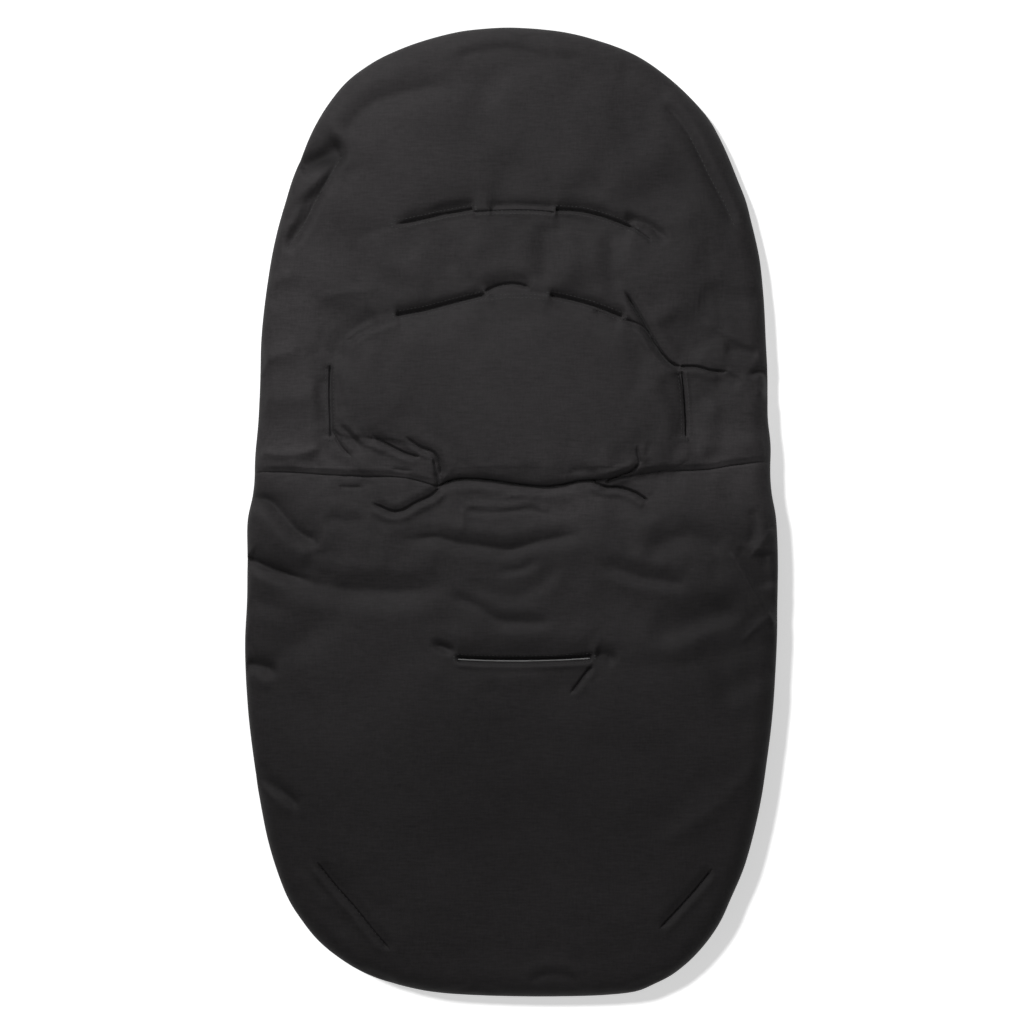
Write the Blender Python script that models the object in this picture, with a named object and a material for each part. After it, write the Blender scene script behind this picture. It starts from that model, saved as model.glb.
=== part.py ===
"""Car seat footmuff, laid face down: a padded back of two panels joined at a cross seam, a padded front cover
under it, and a side-to-foot zip on each side between the two. Metres, +Z up, +Y towards the head end, +X to the
right as seen from above. Z = 0 is the surface that it lies on, and the origin is below the middle of the object.

The back's outer shell faces up. The baby's side, the fleece lining, faces down into the pocket.
"""

import math

import bpy
from mathutils import Vector

MM = 0.001

# ---------------------------------------------------------------- driving dimensions
# Half outline of the flat muff, from the head end to the foot end: (y, half width), in millimetres.
HALF_OUTLINE = (
    (402.5, 0.0), (398.5, 44.0), (387.5, 80.0), (371.0, 114.0), (345.0, 144.5), (310.0, 168.5),
    (272.0, 185.0), (232.0, 197.0), (190.0, 204.5), (142.0, 209.0), (92.0, 211.5), (38.0, 214.0),
    (-12.0, 217.5), (-72.0, 219.0), (-124.0, 218.5), (-170.0, 216.0), (-206.0, 211.5), (-239.0, 206.5),
    (-272.0, 199.5), (-305.0, 188.5), (-337.0, 172.5), (-363.0, 151.0), (-384.0, 121.0), (-395.0, 84.0),
    (-399.0, 40.0), (-400.0, 0.0),
)
CREASE_Y = 37.0  # the cross seam where the back bends to follow a seat
SHELL = 1.0  # outer fabric
SKIN_GAP = 0.3  # air between two touching layers
FLEECE = 3.5
FRONT_THICK = 17.5  # front cover, shell to lining
POCKET = 14.0  # height of the pocket between the front cover and the back
BACK_THICK = 24.5  # back, lining to shell
FRONT_TOP_Y = CREASE_Y - 12.0  # mouth edge of the front cover
BACK_LOW = FRONT_THICK + POCKET
BACK_TOP = BACK_LOW + BACK_THICK
FOLD_HALF_ANGLE = math.radians(30.4)  # room cut at the seam for the padding to close up when the back bends
HEAD_LENGTH = HALF_OUTLINE[0][0] - CREASE_Y
HEAD_TILT = math.asin((BACK_TOP - BACK_THICK * 0.996) / (HEAD_LENGTH - 4.0))  # the head panel slopes down to the floor

# Slots for the seat's harness, as (name, x, y, length, angle): centre and slope on the panel, in mm and degrees.
HEAD_SLOTS = (
    ("shoulder_slot_binding_top_left", -62.5, 244.5, 70.0, 11.0),
    ("shoulder_slot_binding_top_right", 70.5, 239.5, 73.0, -17.0),
    ("shoulder_slot_binding_low_left", -56.5, 171.0, 74.0, 16.0),
    ("shoulder_slot_binding_low_right", 60.0, 165.5, 76.0, -15.5),
    ("lap_slot_binding_left", -150.0, 88.0, 58.0, 90.0),
    ("lap_slot_binding_right", 144.0, 90.0, 56.0, 90.0),
)
SEAT_SLOTS = (("crotch_slot_binding", 11.0, -121.5, 111.0, 0.0),)
SLOT_CLEAR = 8.4  # open width inside the binding
BINDING = 0.8
SLOT_CUT = SLOT_CLEAR + 2 * (BINDING + SKIN_GAP)

# Zip on each side
ZIP_X = 204.5
ZIP_TOP_Y = 22.0
ZIP_STRAIGHT_END_Y = -200.0
ZIP_END_X = 100.0
ZIP_INSET = 7.0
TAPE_THICK = 1.0
TEETH_THICK = 2.6
ZIP_MID_Z = (FRONT_THICK + BACK_LOW) / 2 + 1.1
SLIDER_LENGTH = 20.0
SLIDER_TOP_Y = 19.5
HINGE_Y = -401.0  # foot-end fold between the back and the front cover
HINGE_Z = ZIP_MID_Z - 0.6

BLACK_SHELL = ("shell_fabric", (0.030, 0.029, 0.030, 1.0), 0.85, 0.0)
GREY_FLEECE = ("fleece_lining", (0.36, 0.36, 0.37, 1.0), 0.95, 0.0)
WHITE_WADDING = ("wadding", (0.85, 0.85, 0.84, 1.0), 0.95, 0.0)
BINDING_TAPE = ("binding_tape", (0.42, 0.42, 0.43, 1.0), 0.8, 0.0)
ZIP_TAPE = ("zip_tape", (0.022, 0.022, 0.023, 1.0), 0.8, 0.0)
ZIP_TEETH = ("zip_teeth", (0.018, 0.018, 0.019, 1.0), 0.35, 0.0)
GUNMETAL = ("zip_metal", (0.10, 0.10, 0.105, 1.0), 0.32, 1.0)


# ---------------------------------------------------------------- scene and helpers
for old in list(bpy.data.objects):
    bpy.data.objects.remove(old, do_unlink=True)


def material(spec):
    name, colour, rough, metal = spec
    mat = bpy.data.materials.get(name)
    if mat is None:
        mat = bpy.data.materials.new(name)
        mat.use_nodes = True
        shader = mat.node_tree.nodes["Principled BSDF"]
        shader.inputs["Base Color"].default_value = colour
        shader.inputs["Roughness"].default_value = rough
        shader.inputs["Metallic"].default_value = metal
        mat.diffuse_color = colour
    return mat


def facing_out(verts, faces):
    """The faces of a closed body, turned so that they point outwards."""
    volume = 0.0
    for face in faces:
        a = Vector(verts[face[0]])
        for i, k in zip(face[1:], face[2:]):
            volume += a.dot(Vector(verts[i]).cross(Vector(verts[k])))
    return faces if volume > 0 else [face[::-1] for face in faces]


def solid(name, verts, faces, spec, parent=None, smooth=30.0):
    """One named object from points in millimetres, relative to its parent's origin."""
    faces = facing_out(verts, faces)
    mesh = bpy.data.meshes.new(name)
    mesh.from_pydata([tuple(c * MM for c in v) for v in verts], [], faces)
    mesh.validate()
    mesh.update()
    obj = bpy.data.objects.new(name, mesh)
    bpy.context.scene.collection.objects.link(obj)
    mesh.materials.append(material(spec))
    mesh.shade_smooth()
    mesh.set_sharp_from_angle(angle=math.radians(smooth))
    obj.parent = parent
    return obj


def frame(name, x, y, z, tilt=0.0, parent=None):
    """An empty on a joint's axis, in millimetres, tilted about X in radians."""
    empty = bpy.data.objects.new(name, None)
    empty.empty_display_size = 0.03
    empty.location = (x * MM, y * MM, z * MM)
    empty.rotation_euler = (tilt, 0.0, 0.0)
    empty.parent = parent
    bpy.context.scene.collection.objects.link(empty)
    return empty


def spline(points, per_span, closed=False):
    """Centripetal Catmull-Rom curve through points of the plane."""
    pts = [Vector(p) for p in points]
    n = len(pts)
    out = []
    for i in range(n if closed else n - 1):
        p1, p2 = pts[i], pts[(i + 1) % n]
        p0 = pts[i - 1] if (closed or i > 0) else p1 * 2 - p2
        p3 = pts[(i + 2) % n] if (closed or i + 2 < n) else p2 * 2 - p1
        t0 = 0.0
        t1 = t0 + math.sqrt((p1 - p0).length)
        t2 = t1 + math.sqrt((p2 - p1).length)
        t3 = t2 + math.sqrt((p3 - p2).length)
        for k in range(per_span):
            t = t1 + (t2 - t1) * k / per_span
            a1 = p0 * ((t1 - t) / (t1 - t0)) + p1 * ((t - t0) / (t1 - t0))
            a2 = p1 * ((t2 - t) / (t2 - t1)) + p2 * ((t - t1) / (t2 - t1))
            a3 = p2 * ((t3 - t) / (t3 - t2)) + p3 * ((t - t2) / (t3 - t2))
            b1 = a1 * ((t2 - t) / (t2 - t0)) + a2 * ((t - t0) / (t2 - t0))
            b2 = a2 * ((t3 - t) / (t3 - t1)) + a3 * ((t - t1) / (t3 - t1))
            out.append(b1 * ((t2 - t) / (t2 - t1)) + b2 * ((t - t1) / (t2 - t1)))
    if not closed:
        out.append(pts[-1])
    return out


RIGHT_HALF = [Vector((w, y)) for y, w in HALF_OUTLINE]
OUTLINE = spline(RIGHT_HALF + [Vector((-p.x, p.y)) for p in RIGHT_HALF[-2:0:-1]], 8, closed=True)


def inset_outline(inset):
    """The outline, clockwise from the head end, moved inwards."""
    out = []
    n = len(OUTLINE)
    for i, p in enumerate(OUTLINE):
        along = (OUTLINE[(i + 1) % n] - OUTLINE[i - 1]).normalized()
        out.append(p + Vector((along.y, -along.x)) * inset)
    return out


def arc_between(inset, clip, keep_low, count, edge_count):
    """The outline moved inwards and cut at y = clip: count points along the curved side, then edge_count along the cut."""
    pts = inset_outline(inset)
    n = len(pts)
    start = next(
        i for i in range(n)
        if (pts[i].y >= clip) != (pts[(i + 1) % n].y >= clip) and (pts[i].y >= clip) == keep_low
    )

    def crossing(i):
        a, b = pts[i % n], pts[(i + 1) % n]
        return a.lerp(b, (clip - a.y) / (b.y - a.y))

    line = [crossing(start)]
    i = start + 1
    while (pts[i % n].y < clip) == keep_low:
        line.append(pts[i % n])
        i += 1
    line.append(crossing(i - 1))
    total = [0.0]
    for a, b in zip(line, line[1:]):
        total.append(total[-1] + (b - a).length)
    ring = []
    for k in range(count):
        at = total[-1] * k / (count - 1)
        j = max(0, min(len(line) - 2, next((m for m, t in enumerate(total) if t > at), len(total) - 1) - 1))
        span = max(total[j + 1] - total[j], 1e-9)
        ring.append(line[j].lerp(line[j + 1], (at - total[j]) / span))
    for k in range(1, edge_count + 1):
        ring.append(line[-1].lerp(line[0], k / (edge_count + 1)))
    return ring


def loft(rings):
    """Closed shape from rings of points with equal counts, capped at both ends."""
    verts, faces, n = [], [], len(rings[0])
    for ring in rings:
        verts += [tuple(p) for p in ring]
    for r in range(len(rings) - 1):
        for k in range(n):
            a, b = r * n + k, r * n + (k + 1) % n
            faces.append((a, b, b + n, a + n))
    faces.append(tuple(range(n))[::-1])
    faces.append(tuple((len(rings) - 1) * n + k for k in range(n)))
    return verts, faces


def panel(profile, clip_of_z, keep_low, count, edge_count=3, lift=0.0, shift_y=0.0):
    """Rings of a panel for a profile of (inset, z, inset along the seam), cut where the seam passes at that height."""
    rings = []
    for inset, z, edge in profile:
        flat = arc_between(inset, clip_of_z(z) + (-edge if keep_low else edge), keep_low, count, edge_count)
        rings.append([(p.x, p.y + shift_y, z + lift) for p in flat])
    return rings


def cut(obj, cutter):
    boolean = obj.modifiers.new("slots", "BOOLEAN")
    boolean.operation = "DIFFERENCE"
    boolean.solver = "EXACT"
    boolean.object = cutter
    obj.data.set_sharp_from_angle(angle=math.radians(30))


# ---------------------------------------------------------------- joint frames
front_frame = frame("front_cover_frame", 0.0, 0.0, 0.0)
back_frame = frame("back_panel_frame", 0.0, HINGE_Y, HINGE_Z)
head_frame = frame("head_panel_frame", 0.0, CREASE_Y, BACK_TOP, -HEAD_TILT)


def seam_low(z):
    """Cut line of the lower back: it leans away from the seam with depth."""
    return CREASE_Y - 0.25 - (BACK_TOP - z) * math.tan(FOLD_HALF_ANGLE)


def seam_high(z):
    return CREASE_Y + 0.25 + (BACK_TOP - z) * math.tan(FOLD_HALF_ANGLE)


def mouth(z):
    return FRONT_TOP_Y - 6.3


# Profiles run from the inside, round the rim, to the outer flat face, as (inset, z, inset along the seam).
TOP = BACK_TOP
BACK_SHELL_PROFILE = (
    (14.0, TOP - SHELL, 3.5), (6.2, TOP - 3.4, 1.0), (2.0, TOP - 8.6, 1.0), (1.0, TOP - 13.0, 1.0), (3.6, TOP - 20.5, 1.0),
    (2.6, TOP - 20.7, 0.0), (0.0, TOP - 13.0, 0.0), (1.0, TOP - 8.2, 0.0), (5.4, TOP - 2.6, 0.0), (13.6, TOP, 2.4),
)
BACK_WADDING_PROFILE = (
    (6.0, BACK_LOW + FLEECE + SKIN_GAP, 1.5), (4.0, TOP - 20.2, 1.5), (1.4, TOP - 13.0, 1.5), (2.5, TOP - 8.9, 1.5),
    (6.6, TOP - 3.8, 1.5), (14.2, TOP - SHELL - SKIN_GAP, 4.0),
)
BACK_LINING_PROFILE = (
    (7.0, BACK_LOW, 0.0), (3.4, BACK_LOW + 1.2, 0.0), (3.0, BACK_LOW + FLEECE - 0.2, 0.0), (4.0, BACK_LOW + FLEECE, 0.0),
)
FRONT_SHELL_PROFILE = (
    (12.8, SHELL, 1.0), (5.8, 2.5, 1.0), (1.9, 6.0, 1.0), (1.0, 9.6, 1.0), (3.6, 13.3, 1.0),
    (2.6, 13.6, 0.0), (0.0, 9.6, 0.0), (0.8, 5.6, 0.0), (5.0, 1.6, 0.0), (12.4, 0.0, 0.0),
)
FRONT_WADDING_PROFILE = (
    (13.2, SHELL + SKIN_GAP, 1.5), (6.2, 2.9, 1.5), (2.3, 6.4, 1.5), (1.4, 9.8, 1.5), (4.0, 13.0, 1.5),
    (6.0, FRONT_THICK - FLEECE - SKIN_GAP, 1.5),
)
FRONT_LINING_PROFILE = (
    (4.0, FRONT_THICK - FLEECE, 0.0), (3.0, FRONT_THICK - FLEECE + 0.2, 0.0), (3.4, FRONT_THICK - 1.2, 0.0),
    (7.0, FRONT_THICK, 0.0),
)


def make_panel(name, profile, clip, keep_low, count, spec, parent, origin):
    rings = panel(profile, clip, keep_low, count, shift_y=-origin[0], lift=-origin[1])
    return solid(name, *loft(rings), spec, parent)


# ---------------------------------------------------------------- front cover, which lies on the floor
COUNT_LOW, COUNT_HIGH = 45, 41
ORIGIN_0 = (0.0, 0.0)
front_shell = make_panel("front_shell", FRONT_SHELL_PROFILE, mouth, True, COUNT_LOW, BLACK_SHELL, front_frame, ORIGIN_0)
front_wadding = make_panel("front_wadding", FRONT_WADDING_PROFILE, mouth, True, COUNT_LOW, WHITE_WADDING, front_frame, ORIGIN_0)
front_lining = make_panel("front_lining", FRONT_LINING_PROFILE, mouth, True, COUNT_LOW, GREY_FLEECE, front_frame, ORIGIN_0)


def bar(name, half_x, y0, y1, z0, z1, bevel, spec, parent):
    """A bar across the muff with rounded long edges."""
    section = [
        (y0, z0 + bevel), (y0 + bevel, z0), (y1 - bevel, z0), (y1, z0 + bevel),
        (y1, z1 - bevel), (y1 - bevel, z1), (y0 + bevel, z1), (y0, z1 - bevel),
    ]
    rings = [[(x, y, z) for y, z in section] for x in (-half_x, half_x)]
    return solid(name, *loft(rings), spec, parent)


# Binding along the mouth edge of the front cover
bar("front_mouth_binding", 200.0, FRONT_TOP_Y - 6.0, FRONT_TOP_Y, 2.2, FRONT_THICK - 2.2, 2.2, BLACK_SHELL, front_frame)

# ---------------------------------------------------------------- lower back
LOW_ORIGIN = (HINGE_Y, HINGE_Z)
lower_shell = make_panel("lower_back_shell", BACK_SHELL_PROFILE, seam_low, True, COUNT_LOW, BLACK_SHELL, back_frame, LOW_ORIGIN)
lower_wadding = make_panel("lower_back_wadding", BACK_WADDING_PROFILE, seam_low, True, COUNT_LOW, WHITE_WADDING, back_frame, LOW_ORIGIN)
lower_lining = make_panel("lower_back_lining", BACK_LINING_PROFILE, seam_low, True, COUNT_LOW, GREY_FLEECE, back_frame, LOW_ORIGIN)

# ---------------------------------------------------------------- upper back, sloping down to the floor
HIGH_ORIGIN = (CREASE_Y, BACK_TOP)
upper_shell = make_panel("upper_back_shell", BACK_SHELL_PROFILE, seam_high, False, COUNT_HIGH, BLACK_SHELL, head_frame, HIGH_ORIGIN)
upper_wadding = make_panel("upper_back_wadding", BACK_WADDING_PROFILE, seam_high, False, COUNT_HIGH, WHITE_WADDING, head_frame, HIGH_ORIGIN)
upper_lining = make_panel("upper_back_lining", BACK_LINING_PROFILE, seam_high, False, COUNT_HIGH, GREY_FLEECE, head_frame, HIGH_ORIGIN)


# ---------------------------------------------------------------- harness slots
def stadium(x, y, length, width, angle, steps=4):
    """A slot's outline, counter-clockwise: straight sides with half-round ends."""
    r, half = width / 2, (length - width) / 2
    c, s = math.cos(math.radians(angle)), math.sin(math.radians(angle))
    pts = []
    for end, first in ((half, -90.0), (-half, 90.0)):
        for k in range(steps + 1):
            a = math.radians(first + 180.0 * k / steps)
            u, v = end + r * math.cos(a), r * math.sin(a)
            pts.append((x + u * c - v * s, y + u * s + v * c))
    return pts


def prisms(name, slots, width_of, low, high):
    """One helper of upright prisms that cuts the slots."""
    verts, faces = [], []
    for _, x, y, length, angle in slots:
        flat = stadium(x, y, length + (width_of - SLOT_CLEAR), width_of, angle)
        v, f = loft([[(px, py, low) for px, py in flat], [(px, py, high) for px, py in flat]])
        faces += [tuple(i + len(verts) for i in face) for face in f]
        verts += v
    obj = solid(name, verts, faces, BINDING_TAPE)
    obj.hide_render = True
    obj.display_type = "WIRE"
    return obj


head_cutter = prisms("head_slot_cutter", HEAD_SLOTS, SLOT_CUT, -40.0, 100.0)
seat_cutter = prisms("seat_slot_cutter", SEAT_SLOTS, SLOT_CUT, BACK_LOW - 6.0, 100.0)
for obj in (upper_shell, upper_wadding, upper_lining):
    cut(obj, head_cutter)
for obj in (lower_shell, lower_wadding, lower_lining):
    cut(obj, seat_cutter)


def face_height(y, depth, tilted):
    """Height of the back's outer face, less a depth into it, above a point of the panel."""
    if not tilted:
        return BACK_TOP - depth
    return BACK_TOP - (y - CREASE_Y) * math.tan(HEAD_TILT) - depth / math.cos(HEAD_TILT)


def binding(spec, tilted):
    """The tape that lines a slot, from the lining to the shell."""
    name, x, y, length, angle = spec
    outer = stadium(x, y, length + 2 * BINDING, SLOT_CLEAR + 2 * BINDING, angle)
    inner = stadium(x, y, length, SLOT_CLEAR, angle)
    n = len(outer)
    rings = []
    for flat, depth in ((outer, 0.15), (outer, BACK_THICK - 0.15), (inner, BACK_THICK - 0.15), (inner, 0.15)):
        rings.append([(px, py, face_height(py, depth, tilted)) for px, py in flat])
    verts = [p for ring in rings for p in ring]
    faces = []
    for r in range(4):
        for k in range(n):
            a, b = r * n + k, r * n + (k + 1) % n
            c, d = ((r + 1) % 4) * n + (k + 1) % n, ((r + 1) % 4) * n + k
            faces.append((d, c, b, a))
    parent = head_frame if tilted else back_frame
    obj = solid(name, verts, faces, BINDING_TAPE)
    bpy.context.view_layer.update()
    obj.data.transform(parent.matrix_world.inverted())
    obj.parent = parent
    return obj


for spec in HEAD_SLOTS:
    binding(spec, True)
for spec in SEAT_SLOTS:
    binding(spec, False)


# ---------------------------------------------------------------- zips
def zip_path():
    """Right-hand zip line from the mouth, straight down the side, round the foot corner to the foot end."""
    edge = [p for p in inset_outline(ZIP_INSET) if p.x > 0 and p.y < -262.0]
    edge = [p for p in edge if p.x > ZIP_END_X or p.y > -300.0]
    keep = [edge[round(k * (len(edge) - 1) / 6)] for k in range(7)]
    bend = [Vector((ZIP_X, ZIP_STRAIGHT_END_Y)), Vector((ZIP_X - 1.6, ZIP_STRAIGHT_END_Y - 22.0))] + keep
    return [Vector((ZIP_X, ZIP_TOP_Y))] + spline(bend, 2)


ZIP_PATH = zip_path()


def strip(name, side, thick, z0, z1, spec, parent, origin, trim=0.0):
    """A strip of even thickness standing on the zip line. side is 1 on the right and -1 on the left."""
    path = [p.copy() for p in ZIP_PATH]
    path[0].y -= trim
    rings = []
    for i, p in enumerate(path):
        a, b = path[max(i - 1, 0)], path[min(i + 1, len(path) - 1)]
        along = (b - a).normalized()
        across = Vector((-along.y, along.x)) * (thick / 2)
        corners = ((p + across, z0), (p - across, z0), (p - across, z1), (p + across, z1))
        rings.append([(q.x * side, q.y - origin[0], z - origin[1]) for q, z in corners])
    return solid(name, *loft(rings), spec, parent)


def block(name, x0, x1, y0, y1, z0, z1, spec, parent, origin, side=1):
    xs = sorted((x0 * side, x1 * side))
    low = [(xs[0], y0), (xs[1], y0), (xs[1], y1), (xs[0], y1)]
    rings = [[(x, y - origin[0], z - origin[1]) for x, y in low] for z in (z0, z1)]
    return solid(name, *loft(rings), spec, parent)


TEETH_GAP = 1.2  # between the two rows, for the slider's wedge
ROW = 1.3
for side, tag in ((-1, "left"), (1, "right")):
    row_low = ZIP_MID_Z - TEETH_GAP / 2
    row_high = ZIP_MID_Z + TEETH_GAP / 2
    strip(f"zip_tape_front_{tag}", side, TAPE_THICK, FRONT_THICK + SKIN_GAP, row_low - ROW - SKIN_GAP, ZIP_TAPE, front_frame, ORIGIN_0)
    strip(f"zip_teeth_front_{tag}", side, TEETH_THICK, row_low - ROW, row_low, ZIP_TEETH, front_frame, ORIGIN_0, trim=1.2)
    strip(f"zip_teeth_back_{tag}", side, TEETH_THICK, row_high, row_high + ROW, ZIP_TEETH, back_frame, LOW_ORIGIN, trim=1.2)
    strip(f"zip_tape_back_{tag}", side, TAPE_THICK, row_high + ROW + SKIN_GAP, BACK_LOW - SKIN_GAP, ZIP_TAPE, back_frame, LOW_ORIGIN)
    # Stops at the mouth end, one on each row, and one at the foot end
    block(f"zip_top_stop_front_{tag}", ZIP_X - 1.5, ZIP_X + 1.5, ZIP_TOP_Y - 0.9, ZIP_TOP_Y + 1.6, row_low - ROW, row_low, GUNMETAL, front_frame, ORIGIN_0, side)
    block(f"zip_top_stop_back_{tag}", ZIP_X - 1.5, ZIP_X + 1.5, ZIP_TOP_Y - 0.9, ZIP_TOP_Y + 1.6, row_high, row_high + ROW, GUNMETAL, back_frame, LOW_ORIGIN, side)
    last = ZIP_PATH[-1]
    block(f"zip_end_stop_{tag}", last.x - 4.6, last.x - 1.0, last.y - 2.4, last.y + 1.6, row_low - ROW - 1.0, row_low, GUNMETAL, front_frame, ORIGIN_0, side)


# ---------------------------------------------------------------- foot-end gusset between the two zips
def foot_gusset():
    """A fabric wall across the foot end, from the front cover's lining to the back's."""
    limit = ZIP_PATH[-1].x - 7.0
    line = [p for p in inset_outline(3.6) if p.y < 0 and abs(p.x) < limit]
    line.sort(key=lambda p: p.x)
    keep = [line[round(k * (len(line) - 1) / 12)] for k in range(13)]
    z0, z1 = FRONT_THICK + SKIN_GAP, BACK_LOW - SKIN_GAP
    rings = [[(p.x, p.y, z0), (p.x, p.y + 1.2, z0), (p.x, p.y + 1.2, z1), (p.x, p.y, z1)] for p in keep]
    return solid("foot_gusset", *loft(rings), BLACK_SHELL, front_frame)


foot_gusset()


# ---------------------------------------------------------------- sliders and pulls
def box_mesh(x0, x1, y0, y1, z0, z1):
    low = [(x0, y0), (x1, y0), (x1, y1), (x0, y1)]
    return loft([[(x, y, z) for x, y in low] for z in (z0, z1)])


def joined(name, first, others, spec, parent):
    """One body from boxes that overlap, by Boolean unions that are applied through the modifier stack."""
    obj = solid(name, *first, spec, parent)
    for i, (verts, faces) in enumerate(others):
        tool = solid(f"{name}_piece_{i}", verts, faces, spec, parent)
        tool.hide_render = True
        tool.display_type = "WIRE"
        union = obj.modifiers.new(f"join_{i}", "BOOLEAN")
        union.operation = "UNION"
        union.solver = "EXACT"
        union.object = tool
    return obj


def tapered_plate(x0, x1, y0, y1, half_wide, half_narrow):
    """A slider wing: wide at the mouth end, narrower at the tail, in the plane of the zip."""
    mid = y0 + (y1 - y0) * 0.55
    flat = [(y0, -half_narrow), (y1 - 2.0, -half_wide), (y1, -half_wide + 1.6), (y1, half_wide - 1.6), (y1 - 2.0, half_wide), (mid, half_wide * 0.93), (y0, half_narrow)]
    flat.insert(1, (mid, -half_wide * 0.93))
    return loft([[(x, y, z) for y, z in flat] for x in (x0, x1)])


PULL_AXIS_Y = 8.0
PULL_AXIS_X = 3.9
for side, tag in ((-1, "left"), (1, "right")):
    slider_frame = frame(f"slider_{tag}_frame", ZIP_X * side, SLIDER_TOP_Y - SLIDER_LENGTH, ZIP_MID_Z)

    def mirrored(shape, side=side):
        verts, faces = shape
        if side > 0:
            return verts, faces
        return [(-x, y, z) for x, y, z in verts], faces

    outer = tapered_plate(1.9, 3.1, 0.0, SLIDER_LENGTH, 4.8, 3.6)
    inner = tapered_plate(-3.1, -1.9, 0.0, SLIDER_LENGTH, 4.8, 3.6)
    wedge = box_mesh(-2.3, 2.3, SLIDER_LENGTH - 5.0, SLIDER_LENGTH - 1.2, -0.3, 0.3)
    lip_out = box_mesh(0.85, 2.3, 6.0, SLIDER_LENGTH - 2.6, -4.1, -3.2)
    lip_in = box_mesh(-2.3, -0.85, 6.0, SLIDER_LENGTH - 2.6, -4.1, -3.2)
    bridge_low = box_mesh(2.7, 5.4, 2.9, 4.1, -0.9, 0.9)
    bridge_high = box_mesh(2.7, 5.4, 11.9, 13.1, -0.9, 0.9)
    bridge_top = box_mesh(4.7, 5.6, 3.3, 12.7, -1.0, 1.0)
    joined(
        f"zip_slider_{tag}", mirrored(outer),
        [mirrored(s) for s in (wedge, inner, lip_out, lip_in, bridge_low, bridge_high, bridge_top)],
        GUNMETAL, slider_frame,
    )
    pull_frame = frame(f"pull_{tag}_frame", PULL_AXIS_X * side, PULL_AXIS_Y, 0.0, parent=slider_frame)
    pin = box_mesh(-0.45, 0.45, -0.45, 0.45, -3.0, 3.0)
    arm_low = box_mesh(-0.55, 0.55, -12.0, 0.5, -3.3, -2.4)
    arm_high = box_mesh(-0.55, 0.55, -12.0, 0.5, 2.4, 3.3)
    tab_shape = [(-9.6, -3.4), (-9.6, 3.4), (-34.0, 3.0), (-36.5, 1.8), (-37.2, 0.0), (-36.5, -1.8), (-34.0, -3.0)]
    tab = loft([[(x, y, z) for y, z in tab_shape] for x in (-0.7, 0.7)])
    joined(f"zip_pull_{tag}", mirrored(tab), [mirrored(s) for s in (arm_low, arm_high, pin)], GUNMETAL, pull_frame)

bpy.context.view_layer.update()
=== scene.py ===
"""Looks of the car seat footmuff: padded black back with harness slots, front cover, zips and grey fleece lining.

Lengths are in millimetres in the row frame (X right, Y to the head end, Z up) until a mesh is made.
"""

import math

import bmesh
import bpy
import numpy as np
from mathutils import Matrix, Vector
from mathutils.bvhtree import BVHTree


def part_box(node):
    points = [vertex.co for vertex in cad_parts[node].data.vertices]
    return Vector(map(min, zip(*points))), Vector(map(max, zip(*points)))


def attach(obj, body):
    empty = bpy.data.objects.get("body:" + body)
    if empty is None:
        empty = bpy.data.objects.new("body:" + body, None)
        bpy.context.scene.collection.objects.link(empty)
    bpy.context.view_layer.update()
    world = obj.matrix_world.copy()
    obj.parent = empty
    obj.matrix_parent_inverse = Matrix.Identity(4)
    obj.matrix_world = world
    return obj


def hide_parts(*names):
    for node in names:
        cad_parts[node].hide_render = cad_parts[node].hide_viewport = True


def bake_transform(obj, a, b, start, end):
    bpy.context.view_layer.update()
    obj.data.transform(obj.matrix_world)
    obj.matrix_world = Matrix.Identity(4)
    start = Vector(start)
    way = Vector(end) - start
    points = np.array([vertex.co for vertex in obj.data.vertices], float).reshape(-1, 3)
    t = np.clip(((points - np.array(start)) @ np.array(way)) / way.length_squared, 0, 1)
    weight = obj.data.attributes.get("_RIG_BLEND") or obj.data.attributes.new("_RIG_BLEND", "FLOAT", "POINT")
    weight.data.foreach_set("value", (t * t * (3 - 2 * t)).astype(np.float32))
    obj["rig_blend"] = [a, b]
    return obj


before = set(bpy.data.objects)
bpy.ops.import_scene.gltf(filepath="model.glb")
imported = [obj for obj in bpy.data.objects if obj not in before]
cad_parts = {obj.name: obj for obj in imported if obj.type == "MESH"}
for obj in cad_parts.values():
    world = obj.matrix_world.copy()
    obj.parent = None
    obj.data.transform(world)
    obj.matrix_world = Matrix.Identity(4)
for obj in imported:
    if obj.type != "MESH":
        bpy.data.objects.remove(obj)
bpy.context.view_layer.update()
MM = 0.001
PX = 0.825  # millimetres to a picture unit of the outline and fold tables below

# ---------------------------------------------------------------- shared dimensions, the same as the frame's
SEAM_Y = 37.0
BACK_TOP = 56.0
BACK_LOW = 31.5
BACK_THICK = BACK_TOP - BACK_LOW
TILT = math.asin((BACK_TOP - BACK_THICK * 0.996) / (402.5 - SEAM_Y - 4.0))
FRONT_THICK = 17.5
MOUTH_Y = 25.0
ZIP_X, ZIP_TOP_Y, ZIP_STRAIGHT_END_Y, ZIP_END_X, ZIP_INSET = 204.5, 22.0, -200.0, 100.0, 7.0
ZIP_MID_Z = (FRONT_THICK + BACK_LOW) / 2 + 1.1


CAMERA_UP = 45.0 + 1024 * PX / 36.0 * 200.0  # height of the camera, in millimetres
PLANE_UP = 45.0  # height at which a picture unit is PX

# The flat outline that the frame is built on: (y, half width), from the head end to the foot end.
FRAME_HALF = (
    (402.5, 0.0), (398.5, 44.0), (387.5, 80.0), (371.0, 114.0), (345.0, 144.5), (310.0, 168.5),
    (272.0, 185.0), (232.0, 197.0), (190.0, 204.5), (142.0, 209.0), (92.0, 211.5), (38.0, 214.0),
    (-12.0, 217.5), (-72.0, 219.0), (-124.0, 218.5), (-170.0, 216.0), (-206.0, 211.5), (-239.0, 206.5),
    (-272.0, 199.5), (-305.0, 188.5), (-337.0, 172.5), (-363.0, 151.0), (-384.0, 121.0), (-395.0, 84.0),
    (-399.0, 40.0), (-400.0, 0.0),
)


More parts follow.
